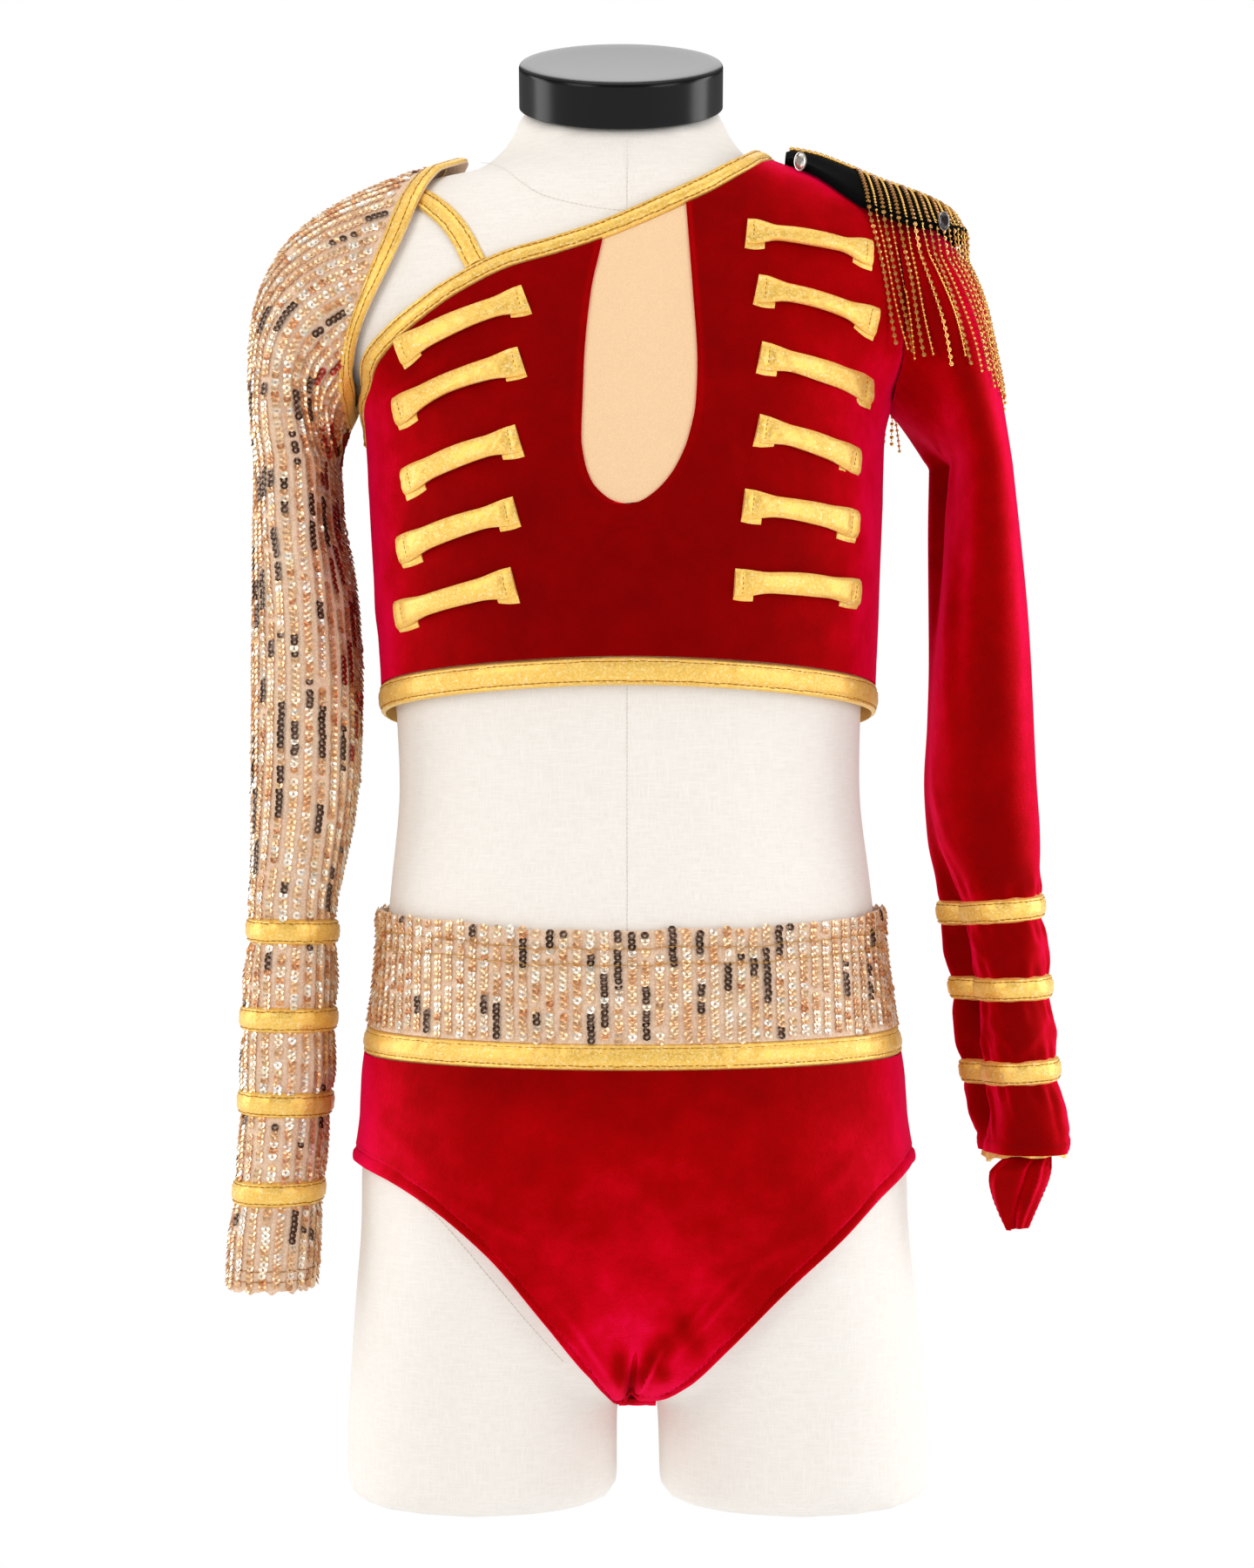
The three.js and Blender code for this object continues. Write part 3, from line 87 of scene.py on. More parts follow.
def curve(x, y):
    """Monotone cubic through rows: Hermite pieces, each tangent the harmonic mean of its two slopes."""
    x, y = np.asarray(x, float), np.asarray(y, float)
    order = np.argsort(x)
    x, y = x[order], y[order]
    d = np.diff(y) / np.diff(x)
    same = d[:-1] * d[1:] > 0
    inner = np.where(same, 2 * d[:-1] * d[1:] / np.where(same, d[:-1] + d[1:], 1), 0)
    m = np.concatenate([d[:1], inner, d[-1:]])

    def at(q):
        q = np.clip(q, x[0], x[-1])
        i = np.clip(np.searchsorted(x, q) - 1, 0, len(x) - 2)
        h = x[i + 1] - x[i]
        t = (q - x[i]) / h
        a = 2 * t**3 - 3 * t**2 + 1
        b = t**3 - 2 * t**2 + t
        return a * y[i] + b * h * m[i] + (1 - a) * y[i + 1] + (t**3 - t**2) * h * m[i + 1]

    return at


def curves(names, rows):
    """One curve for each named column, over the first column."""
    rows = np.array(rows, float)
    return {name: curve(rows[:, 0], rows[:, k + 1]) for k, name in enumerate(names.split())}


def spline(points, dense=24):
    """Centripetal Catmull-Rom through points (..., count, 3), dense steps to a piece."""
    p = np.asarray(points, float)
    p = np.concatenate([2 * p[..., :1, :] - p[..., 1:2, :], p, 2 * p[..., -1:, :] - p[..., -2:-1, :]], -2)
    p0, p1, p2, p3 = (p[..., i : p.shape[-2] - 3 + i, :] for i in range(4))
    gap = [np.maximum(np.linalg.norm(b - a, axis=-1, keepdims=True), 1e-6) ** 0.5
           for a, b in ((p0, p1), (p1, p2), (p2, p3))]
    t1 = ((p1 - p0) / gap[0] - (p2 - p0) / (gap[0] + gap[1]) + (p2 - p1) / gap[1]) * gap[1]
    t2 = ((p2 - p1) / gap[1] - (p3 - p1) / (gap[1] + gap[2]) + (p3 - p2) / gap[2]) * gap[1]
    t = np.linspace(0, 1, dense, endpoint=False)[:, None]
    a, b = 2 * t**3 - 3 * t**2 + 1, t**3 - 2 * t**2 + t
    c, d = 3 * t**2 - 2 * t**3, t**3 - t**2
    ex = lambda v: v[..., :, None, :]
    out = ex(p1) * a + ex(t1) * b + ex(p2) * c + ex(t2) * d
    flat = out.reshape(out.shape[:-3] + (-1, out.shape[-1]))
    return np.concatenate([flat, p[..., -2:-1, :]], -2)


def arc(line):
    """The length of a polyline up to each of its points."""
    return np.concatenate([[0], np.cumsum(np.linalg.norm(np.diff(line, axis=0), axis=1))])


def between(s, at, rows):
    """Rows read at places s, where each row stands at its own place."""
    return np.stack([np.interp(s, at, rows[:, k]) for k in range(rows.shape[1])], -1)


def along(line, s):
    """Points at lengths s of a polyline."""
    return between(s, arc(line), line)


def even(line, count):
    """A polyline as this many points, evenly spaced."""
    return along(line, np.linspace(0, arc(line)[-1], count))


def heading(line, s, reach=1.0):
    """Directions of a polyline at lengths s, each taken over a short reach both ways."""
    end = arc(line)[-1]
    return unit(along(line, np.minimum(s + reach, end)) - along(line, np.maximum(s - reach, 0)))


def across_grid(at, distance, rows):
    """The line through a grid where the distance down each of its columns is this much."""
    return np.array([between(at, distance[:, k], rows[:, k]) for k in range(rows.shape[1])])


def looped(p, n):
    """A closed line and its normals, the first of each again at the end."""
    return np.concatenate([p, p[:1]]), np.concatenate([n, n[:1]])


def evened(values, reach):
    """A running mean over this many values to each side."""
    count = 2 * reach + 1
    return np.convolve(np.pad(values, reach, mode="edge"), np.ones(count) / count, "valid")


# The form: half widths and depths by height, in mm
TORSO = curves("half front back power", [
    [50, 34, 34, 38, 2], [56, 62, 56, 62, 2], [66, 84, 69, 78, 2], [85, 101, 78, 89, 2.05],
    [110, 113, 84, 97, 2.1], [153, 122.2, 88.6, 100.4, 2.15], [190, 121.5, 88, 98, 2.2],
    [212, 118.8, 86.3, 93, 2.2], [245, 113.6, 83.5, 85, 2.2], [281, 109.6, 79.5, 78, 2.2],
    [325, 105.4, 75.5, 75, 2.2], [349, 106, 77, 77, 2.2], [405, 110, 83.5, 83, 2.25],
    [445, 112.8, 87, 87, 2.3], [485, 114, 83.5, 90, 2.3], [500, 116.5, 80, 90.5, 2.25],
    [520, 134, 75, 89, 2.2], [548, 147, 66, 83, 2.2], [566, 145, 60, 75, 2.2], [580, 133, 55.5, 67, 2.15],
    [593, 109, 52, 59, 2.1], [600, 91, 50.5, 55.5, 2.05], [607, 70, 49.5, 52.5, 2], [613, 60, 48.5, 50.5, 2]])
LEG = curves("centre half front back", [
    [0, 71.4, 58.4, 59, 61], [2.2, 71.4, 60.8, 61.5, 63.5], [7, 71.4, 61.8, 62.5, 64.5],
    [30, 71.2, 61.8, 63.5, 67], [62, 69.5, 61.2, 67, 74], [109, 66, 60.6, 73, 86], [153, 61, 59, 78, 92],
    [198, 58, 52, 66, 76]])
NECK = [[1, 606, 66, 50, 2], [-1, 613, 57, 48.5, 8], [-2.5, 619, 51, 47, 14], [-4, 626, 47.5, 46.3, 20],
        [-5, 634.2, 46.2, 46.2, 22.8]]
BLEND_TOP = 198  # above this height the section is the torso's oval alone
LEAN_FOOT, LEAN_TOP, LEAN_HEIGHT = 5.2, -3.0, 655


def lean(z):
    """Where the form's axis stands, across, at a height."""
    return mix(LEAN_FOOT, LEAN_TOP, z / LEAN_HEIGHT)


def oval(angle, half, front, back, power):
    """Radius of an oval |x / half|^power + |y / depth|^power = 1, whose front and back differ in depth."""
    c = np.abs(np.cos(angle)) / half
    s = np.abs(np.sin(angle)) / np.where(np.sin(angle) > 0, front, back)
    return (c**power + s**power) ** (-1 / power)


def soft_min(a, b, k):
    """The smaller of two values, rounded off where they are less than k apart."""
    h = np.maximum(k - np.abs(a - b), 0) / k
    return np.minimum(a, b) - h * h * k / 4


def form_radius(angle, z, blend=14.0):
    """Radius of the form: an oval above, and below it a soft union of the torso and two thighs."""
    angle, z, blend = np.broadcast_arrays(np.asarray(angle, float), np.asarray(z, float), blend)
    torso = lambda h: (TORSO[k](h) for k in ("half", "front", "back", "power"))
    r = oval(angle, *torso(z))
    low = z < BLEND_TOP
    if not low.any():
        return r
    a, h = angle[low], z[low]
    k = blend[low] * np.clip((BLEND_TOP - h) / 45, 0.03, 1)
    body = oval(a, *torso(h))
    thigh = [LEG[n](h) for n in ("centre", "half", "front", "back")]

    def inside(q):
        x, y = q * np.cos(a), q * np.sin(a)
        d = q - body
        for side in (-1, 1):
            dx = x - side * thigh[0]
            d = soft_min(d, np.hypot(dx, y) - oval(np.arctan2(y, dx), *thigh[1:], 2), k)
        return d

    # The outermost crossing is found in coarse steps, then by halving
    least = 20.0
    outer = np.full(a.shape, least)
    for q in np.arange(150, least, -2.0):
        hit = (outer == least) & (inside(np.full(a.shape, q)) <= 0)
        outer[hit] = q
    lo, hi = outer, outer + 2
    for _ in range(14):
        m = (lo + hi) / 2
        deep = inside(m) <= 0
        lo, hi = np.where(deep, m, lo), np.where(deep, hi, m)
    r = r.copy()
    r[low] = lo
    return r


def place(radius, angle, z):
    """Points of a surface, by angle round the leaning axis and height; the front is at -y."""
    angle, z = np.broadcast_arrays(np.asarray(angle, float), np.asarray(z, float))
    r = radius(angle, z)
    return np.stack([lean(z) + r * np.cos(angle), -r * np.sin(angle), z], -1)


def eased(table, blend):
    """The form's radius and a gap over it: rows of height and the gap at the side, front and back."""
    by = curves("side front back", table)

    def radius(angle, z):
        s = np.sin(angle)
        depth = np.where(s > 0, by["front"](z), by["back"](z))
        return form_radius(angle, z, mix(14, blend, s**6)) + mix(by["side"](z), depth, s * s)

    return radius


top_radius = eased([
    [340, 5.5, 6.5, 3], [365, 4.8, 4.5, 3], [405, 3.8, 3, 2.5], [445, 2.9, 1.6, 1.6], [485, 3.6, 1.5, 1.5],
    [496, 4.8, 1.5, 1.5], [508, 2.4, 1.5, 1.5], [540, 1.6, 1.8, 2.6], [575, 2.4, 2.4, 3.2],
    [600, 2.4, 2.4, 3], [613, 2.2, 2.2, 2.2]], 14)
hip_radius = eased([
    [50, 1.2, 1.4, 1.6], [68, 1.6, 1.6, 4], [100, 2, 1.6, 2.6], [150, 2.4, 1.8, 2.6], [190, 1.6, 1.2, 1.6],
    [212, 1.3, 1.2, 1.2], [245, 2.2, 1.2, 1.5], [278, 3.9, 1.4, 4]], 46)


def angle_at(radius, x, z, front=True):
    """The angle at which a surface has this x from its axis, on the front or the back."""
    x, z = np.broadcast_arrays(np.asarray(x, float), np.asarray(z, float))
    side = 1 if front else -1
    lo, hi = np.zeros(x.shape), np.full(x.shape, math.pi)
    for _ in range(26):
        m = (lo + hi) / 2
        far = radius(side * m, z) * np.cos(m) > x
        lo, hi = np.where(far, m, lo), np.where(far, hi, m)
    return lo if front else TURN - lo


# Meshes
def normals(p, wrap=False):
    """Normals of a grid of points, by the cross product of its two directions."""
    if wrap:
        q = np.concatenate([p[:, -1:], p, p[:, :1]], 1)
        du = (q[:, 2:] - q[:, :-2]) / 2
    else:
        du = np.gradient(p, axis=1)
    dv = np.gradient(p, axis=0)
    return unit(np.cross(du, dv))


def outward(p, wrap=False):
    """Normals of a grid round the form, turned to point away from its axis."""
    n = normals(p, wrap)
    axis = np.stack([lean(p[..., 2]), np.zeros(p.shape[:2]), p[..., 2]], -1)
    return n * np.sign(np.sum(n * (p - axis), -1).mean())


shapes = {}


def mesh(name, verts, faces, mat, uv=None, tint=None, sharp=40, ride=True, node=None):
    """A piece of the scene from arrays in millimetres; it takes the place of the solid named node."""
    data = bpy.data.meshes.new(name)
    # Velvet carries its painted sheen and shade as its tint
    if tint is None and mat is VELVET:
        tint = painted_velvet_light(np.asarray(verts))
    shapes[name] = (verts, faces)
    verts = (np.asarray(verts, float).reshape(-1, 3) + SHIFT) / 1000
    faces = np.asarray(faces)
    data.vertices.add(len(verts))
    data.vertices.foreach_set("co", verts.ravel())
    n = faces.shape[1]
    data.loops.add(faces.size)
    data.loops.foreach_set("vertex_index", faces.ravel().astype(np.int32))
    data.polygons.add(len(faces))
    data.polygons.foreach_set("loop_start", np.arange(0, faces.size, n, dtype=np.int32))
    data.update(calc_edges=True)
    if uv is not None:
        layer = data.uv_layers.new(name="cloth")
        layer.data.foreach_set("uv", np.asarray(uv).reshape(-1, 2)[faces.ravel()].ravel())
    if tint is not None:
        layer = data.color_attributes.new("tint", "FLOAT_COLOR", "POINT")
        layer.data.foreach_set("color", np.asarray(tint, np.float32).ravel())
    data.shade_smooth()
    data.set_sharp_from_angle(angle=math.radians(sharp))
    data.materials.append(mat)
    data.validate()
    piece = bpy.data.objects.new(name, data)
    bpy.context.scene.collection.objects.link(piece)
    if ride:
        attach(piece, "root")
    if node:
        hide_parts(node)
    return piece


def grid_faces(rows, cols, wrap):
    """Four-sided faces of a grid; wrap joins its last column to the first."""
    j, i = np.meshgrid(np.arange(rows - 1), np.arange(cols if wrap else cols - 1), indexing="ij")
    k = (i + 1) % cols
    return np.stack([j * cols + i, j * cols + k, (j + 1) * cols + k, (j + 1) * cols + i], -1).reshape(-1, 4)


def wall_arrays(p, lo, hi, wrap=False, n=None):
    """A closed wall of cloth on a grid: outer face p + hi n, inner face p + lo n, joined at the edges."""
    rows, cols = p.shape[:2]
    n = outward(p, wrap) if n is None else n
    lo, hi = np.broadcast_to(lo, p.shape[:2])[..., None], np.broadcast_to(hi, p.shape[:2])[..., None]
    verts = np.concatenate([(p + hi * n).reshape(-1, 3), (p + lo * n).reshape(-1, 3)])
    f = grid_faces(rows, cols, wrap)
    m = rows * cols
    strips = []
    i = np.arange(cols if wrap else cols - 1)
    for row, flip in ((0, False), (rows - 1, True)):
        a = row * cols + i
        b = row * cols + (i + 1) % cols
        q = np.stack([b, a, a + m, b + m], -1)
        strips.append(q[:, ::-1] if flip else q)
    if not wrap:
        for col, flip in ((0, True), (cols - 1, False)):
            a = np.arange(rows - 1) * cols + col
            q = np.stack([a + cols, a, a + m, a + cols + m], -1)
            strips.append(q[:, ::-1] if flip else q)
    faces = np.concatenate([f, f[:, ::-1] + m, *strips])
    # A negative volume means that the faces look inwards
    a, b, c, d = (verts[faces[:, k]] for k in range(4))
    if (np.sum(a * np.cross(b, c), -1) + np.sum(a * np.cross(c, d), -1)).sum() < 0:
        faces = faces[:, ::-1]
    step_u = np.linalg.norm(np.diff(p, axis=1, append=p[:, -1:]), axis=-1)
    step_v = np.linalg.norm(np.diff(p, axis=0, append=p[-1:]), axis=-1)
    uv = np.stack([np.cumsum(step_u, 1) - step_u, np.cumsum(step_v, 0) - step_v], -1)
    return verts, faces, np.concatenate([uv, uv]).reshape(-1, 2)


def wall(name, node, p, lo, hi, mat, wrap=False, n=None):
    """A wall of cloth in the place of the solid named node."""
    verts, faces, uv = wall_arrays(p, lo, hi, wrap, n)
    mesh(name, verts, faces, mat, uv=uv, node=node)


def join(parts):
    """Several sets of vertices and faces as one."""
    start, verts, faces = 0, [], []
    for v, f in parts:
        verts.append(v)
        faces.append(f + start)
        start += len(v)
    return np.concatenate(verts), np.concatenate(faces)


def scatter(name, template, origins, axes, mat, scale=1.0, tint=None, sharp=40, node=None):
    """Sets a small closed template down at each origin, along its own three axes."""
    v, f = template
    local = v[None] * np.broadcast_to(np.asarray(scale, float), (len(origins), 3))[:, None]
    verts = origins[:, None] + np.einsum("nik,nkj->nij", local, axes)
    faces = (f[None] + len(v) * np.arange(len(origins))[:, None, None]).reshape(-1, f.shape[1])
    colour = None if tint is None else np.repeat(tint, len(v), 0)
    mesh(name, verts, faces, mat, tint=colour, sharp=sharp, node=node)


def revolved(profile, sides):
    """A template turned round its x axis from (x, radius) rows, closed at both ends."""
    profile = np.array(profile, float)
    a = np.arange(sides) * TURN / sides
    ring = np.stack([np.zeros(sides), np.cos(a), np.sin(a)], -1)
    verts = np.concatenate([ring * r + [x, 0, 0] for x, r in profile])
    quads = grid_faces(len(profile), sides, True)
    tris = np.concatenate([quads[:, [0, 1, 2]], quads[:, [0, 2, 3]]])[:, ::-1]
    last = (len(profile) - 1) * sides
    i = np.arange(1, sides - 1)
    fan = np.stack([0 * i, i, i + 1], -1)
    return verts, np.concatenate([tris[:, ::-1], fan[:, ::-1], fan + last])


def frames(tangent, n):
    """Axes along a line, across it and out of the cloth."""
    t = unit(tangent)
    side = unit(np.cross(n, t))
    return np.stack([t, side, np.cross(t, side)], 1)


THREAD = revolved([[-0.5, 0.4], [0, 1.0], [0.5, 0.4]], 3)


def stitches(name, lines, mat, pitch=3.0, length=2.1, thick=0.26, lift=0.12, wander=0.12):
    """Running stitch along each line, a pair (points, normals) on the cloth's outer face."""
    where, axes = [], []
    for p, n in lines:
        a = arc(p)
        count = max(int(a[-1] / pitch), 2)
        s = (np.arange(count) + 0.5) * a[-1] / count
        q = along(p, s)
        f = frames(heading(p, s, 0.8), unit(between(s, a, n)))
        q = q + f[:, 1] * rng.normal(0, wander, (count, 1)) + f[:, 2] * lift
        where.append(q)
        axes.append(f)
    where, axes = np.concatenate(where), np.concatenate(axes)
    scatter(name, THREAD, where, axes, mat, scale=np.array([length, thick, thick]), sharp=60)


# Materials
def rgb(text):
    """A colour's sRGB hex value, turned to linear."""
    c = np.array([int(text[i : i + 2], 16) for i in (1, 3, 5)]) / 255
    return (*np.where(c <= 0.04045, c / 12.92, ((c + 0.055) / 1.055) ** 2.4), 1.0)


def set_stops(node, stops):
    """Gives a colour ramp its places and colours."""
    elements = node.color_ramp.elements
    while len(elements) < len(stops):
        elements.new(0.5)
    for element, (at, colour) in zip(elements, stops):
        element.position = at
        element.color = rgb(colour)


class Look:
    """A material and its node tree. add() puts in a node, sets its values, joins its inputs and gives back
    an output of it; the other methods are add() for one use each."""

    def __init__(self, name, **sockets):
        self.mat = bpy.data.materials.new(name)
        self.mat.use_nodes = True
        self.tree = self.mat.node_tree
        self.skin = self.tree.nodes["Principled BSDF"]
        self.skin_set(**sockets)

    def set(self, node, key, value):
        if isinstance(value, bpy.types.NodeSocket):
            self.tree.links.new(value, node.inputs[key])
        else:
            node.inputs[key].default_value = value

    def add(self, kind, inputs=None, out=0, **props):
        node = self.tree.nodes.new("ShaderNode" + kind)
        for key, value in props.items():
            setattr(node, key, value)
        for key, value in (inputs or {}).items():
            self.set(node, key, value)
        return node.outputs[out]

    def space(self, mm):
        """Texture coordinates that grow by one in this many millimetres."""
        raw = self.tree.nodes.new("ShaderNodeTexCoord").outputs["Object"]
        k = 1000 / mm
        return self.add("Mapping", {"Vector": raw, "Scale": (k, k, k)})

    def noise(self, mm, detail, rough):
        return self.add("TexNoise", {"Vector": self.space(mm), "Scale": 1.0, "Detail": detail,
                                     "Roughness": rough})

    def ramp(self, value, stops):
        node = self.tree.nodes.new("ShaderNodeValToRGB")
        self.tree.links.new(value, node.inputs[0])
        set_stops(node, stops)
        return node.outputs[0]

    def math(self, operation, *values):
        return self.add("Math", dict(enumerate(values)), operation=operation)

    def relief(self, height, mm, strength=1.0, normal=None):
        inputs = {"Height": height, "Distance": mm / 1000, "Strength": strength}
        if normal is not None:
            inputs["Normal"] = normal
        return self.add("Bump", inputs)

    def skin_set(self, **sockets):
        for key, value in sockets.items():
            self.set(self.skin, key.replace("_", " "), value)

    def tint(self):
        """The colour that a mesh carries at its points."""
        return self.add("Attribute", attribute_name="tint", attribute_type="GEOMETRY")


def velvet_look(name, deep, lit):
    """Pile: deep where it is seen end on, brighter and pinker where it is seen from its side, a painted sheen
    in its base colour, to which the painted light and shade that the mesh carries as its tint are added.
    """
    look = Look(name, Roughness=0.7, Sheen_Weight=1.0, Sheen_Roughness=0.35,
                Sheen_Tint=(1.0, 0.002, 0.09, 1.0), Specular_IOR_Level=0.02)
    patches = look.noise(24, 5, 0.66)
    pile = look.noise(0.5, 2, 0.6)
    crush = look.noise(5, 3, 0.6)
    normal = look.relief(crush, 0.4, 0.35, look.relief(pile, 0.3, 0.6))
    # Painted sheen: the base colour is lightened by how steeply the pile is seen
    side = look.add("LayerWeight", {"Blend": 0.5, "Normal": normal}, out=1)
    # The tint's painted sheen and shade go into the colour too
    painted_tint_light = look.add("SeparateColor", {0: look.tint()})
    cloudy = look.math("MULTIPLY_ADD", patches, 0.62, -0.31)
    both = look.math("ADD", look.math("MULTIPLY_ADD", pile, 0.2, cloudy), look.math("ADD", side, painted_tint_light))
    reds = [(0.0, "#780000"), (0.26, deep), (0.55, lit), (0.8, "#D20018"), (1.0, "#F00A44")]
    look.skin_set(Base_Color=look.ramp(both, reds), Normal=normal)
    return look.mat


def foil_look(name):
    """Foiled stretch cloth: a bright gold film over a knit, broken up by small facets."""
    look = Look(name, Metallic=0.45, Specular_IOR_Level=0.6, Sheen_Weight=0.25, Sheen_Tint=rgb("#FFE2A0"))
    cells = look.add("TexVoronoi", {"Vector": look.space(0.55), "Scale": 1.0}, out=1)
    grain = look.add("SeparateColor", {0: cells})
    wrinkle = look.noise(1.3, 2, 0.5)
    both = look.math("MULTIPLY_ADD", grain, 0.5, look.math("MULTIPLY", wrinkle, 0.5))
    golds = [(0.15, "#F6BC4C"), (0.5, "#FACB5C"), (0.7, "#FDDA82"), (0.85, "#FFF3CC")]
    look.skin_set(Base_Color=look.ramp(both, golds), Roughness=look.math("MULTIPLY_ADD", grain, 0.3, 0.3),
                  Normal=look.relief(grain, 0.03, 0.4, look.relief(wrinkle, 0.09, 0.5)))
    return look.mat


def linen_look(name):
    """Unbleached linen, plain woven and matt: noise drawn out along each of the two threads, the higher of
    the two on top. The threads are coarser than real ones, so that they show."""
    look = Look(name, Roughness=0.88, Specular_IOR_Level=0.2, Sheen_Weight=0.15, Sheen_Roughness=0.5)
    raw = look.tree.nodes.new("ShaderNodeTexCoord").outputs["Object"]
    thread = lambda *k: look.add("TexNoise", {"Vector": look.add("Mapping", {"Vector": raw, "Scale": k}),
                                              "Scale": 1.0, "Detail": 1.0})
    warp, weft = thread(1700, 1700, 110), thread(130, 130, 1700)
    weave = look.math("MAXIMUM", warp, weft)
    look.skin_set(Base_Color=look.ramp(weave, [(0.35, "#EFE9E1"), (0.6, "#F5F0E9"), (0.8, "#F8F4EE")]),
                  Normal=look.relief(weave, 0.07, 0.4))
    return look.mat


def knit_look(name, mm, deep, lit):
    """Fine knitted net, satin: round cells of this size, each lower and deeper in colour at its middle."""
    look = Look(name, Roughness=0.6, Specular_IOR_Level=0.35)
    cells = look.add("TexVoronoi", {"Vector": look.space(mm), "Scale": 1.0}, out=0)
    look.skin_set(Base_Color=look.ramp(cells, [(0.0, deep), (0.6, lit)]), Normal=look.relief(cells, 0.2, 0.5))
    return look.mat


def sequin_look(name):
    """Foiled plastic, stamped: a half mirror, each sequin in a tint of its own; the tints also carry painted
    reflections.
    """
    look = Look(name, Metallic=0.55, Roughness=0.22, Specular_IOR_Level=0.7)
    look.skin_set(Base_Color=look.tint())
    return look.mat


VELVET = velvet_look("stretch velvet", "#8A0000", "#A80002")
FOIL = foil_look("gold foil spandex")
LINEN = linen_look("plain weave linen")
MESH = knit_look("nude stretch mesh", 0.5, "#EBC194", "#F7D3A6")
TULLE = knit_look("beige sequin ground", 0.9, "#D2A684", "#F0D2B6")
SEQUIN = sequin_look("cup sequin")

# Felt and thread are matt, the moulded cap is glossy, and metal, stones and glass are mirror-bright
FELT = Look("black felt", Base_Color=rgb("#070708"), Roughness=1.0, Specular_IOR_Level=0.05).mat
CAP = Look("satin ABS cap", Base_Color=rgb("#08080B"), Roughness=0.24, Specular_IOR_Level=0.21).mat
BRASS = Look("brass ball chain", Base_Color=rgb("#F0C068"), Metallic=0.85, Roughness=0.2).mat
STEEL = Look("nickel cup", Base_Color=rgb("#B9B6B0"), Metallic=1.0, Roughness=0.25).mat
CRYSTAL = Look("foil-backed crystal", Base_Color=rgb("#E8E4DC"), Metallic=0.75, Roughness=0.06,
               Coat_Weight=1.0).mat
AMBER = Look("amber crystal", Base_Color=rgb("#C98A45"), Metallic=0.5, Roughness=0.08, Coat_Weight=1.0).mat
JET = Look("jet glass", Base_Color=rgb("#1C1114"), Roughness=0.05, Coat_Weight=1.0).mat
OCHRE = Look("ochre polyester thread", Base_Color=rgb("#A86C14"), Roughness=0.6, Specular_IOR_Level=0.2).mat
GOLD_THREAD = Look("gold polyester thread", Base_Color=rgb("#C08A30"), Roughness=0.5).mat
RED_THREAD = Look("red polyester thread", Base_Color=rgb("#7A0004"), Roughness=0.7,
                  Specular_IOR_Level=0.1).mat
ECRU = Look("ecru cotton thread", Base_Color=rgb("#CFC6B8"), Roughness=0.8).mat


def stroke(dx, dz, way, length, width):
    """1 at a place and falling off as exp(-u^2 - v^2), u along a direction in degrees and v across it."""
    c, s = math.cos(math.radians(way)), math.sin(math.radians(way))
    u, v = dx * c + dz * s, -dx * s + dz * c
    return np.exp(-((u / length) ** 2) - ((v / width) ** 2))


# Painted light and shade on the velvet: x, z, reach in x and z, and how much brighter that makes it. The fold
# rows paint shade into the folds' hollows; the other rows paint sheen where the velvet catches the light, and
# the last of them darkens a patch below the belt.
PAINTED_FOLD_SHADE = [(1, 60, 3, 9, -0.7), (6, 66, 3.4, 5, -0.5), (11, 73, 3.6, 6, -0.5), (17, 80, 4, 6, -0.46),
             (24, 88, 4.5, 6, -0.4), (-4, 70, 3, 8, -0.4), (16, 66, 3.4, 5, -0.4), (30, 80, 5, 6, -0.36)]
PAINTED_SHEEN_AND_SHADE = [(6, 82, 60, 42, 0.5), (0, 150, 140, 60, 0.4), (-84, 486, 40, 26, 0.1), (92, 520, 30, 60, 0.26),
            (110, 420, 22, 60, 0.1), (-108, 420, 16, 60, 0.14), (165, 440, 50, 150, 0.2),
            (2, 440, 26, 10, 0.08), (-40, 196, 50, 12, -0.06)]


def painted_velvet_light(v):
    """Painted sheen and shade of the velvet at each point: a sum of strokes, those of the folds in front
    only.
    """
    total = np.zeros(len(v))
    for rows, where in ((PAINTED_FOLD_SHADE, v[:, 1] < 0), (PAINTED_SHEEN_AND_SHADE, 1)):
        for x, z, wide, high, much in rows:
            total += much * stroke(v[:, 0] - x, v[:, 2] - z, 0, wide, high) * where
    return np.stack([total, total, total, np.ones(len(v))], -1)


# Dress form
def loft(rings):
    """A closed surface of triangles through rings of points, both ends fanned to their middles."""
    rings = np.asarray(rings, float)
    rows, cols = rings.shape[:2]
    verts = np.concatenate([rings.reshape(-1, 3), rings[:1].mean(1), rings[-1:].mean(1)])
    quads = grid_faces(rows, cols, True)
    tris = np.concatenate([quads[:, [0, 1, 2]], quads[:, [0, 2, 3]]])
    i = np.arange(cols)
    k = (i + 1) % cols
    low = np.stack([k, i, np.full(cols, rows * cols)], -1)
    last = (rows - 1) * cols
    high = np.stack([last + i, last + k, np.full(cols, rows * cols + 1)], -1)
    return verts, np.concatenate([tris, low, high])


def neck_ring(a, y, z, half, depth, tilt):
    """An oval ring of the neck, tilted by this many degrees."""
    back = -depth * np.sin(a)
    c, s = math.cos(math.radians(tilt)), math.sin(math.radians(tilt))
    return np.stack([lean(z) + half * np.cos(a), y + back * c, z + back * s], -1)


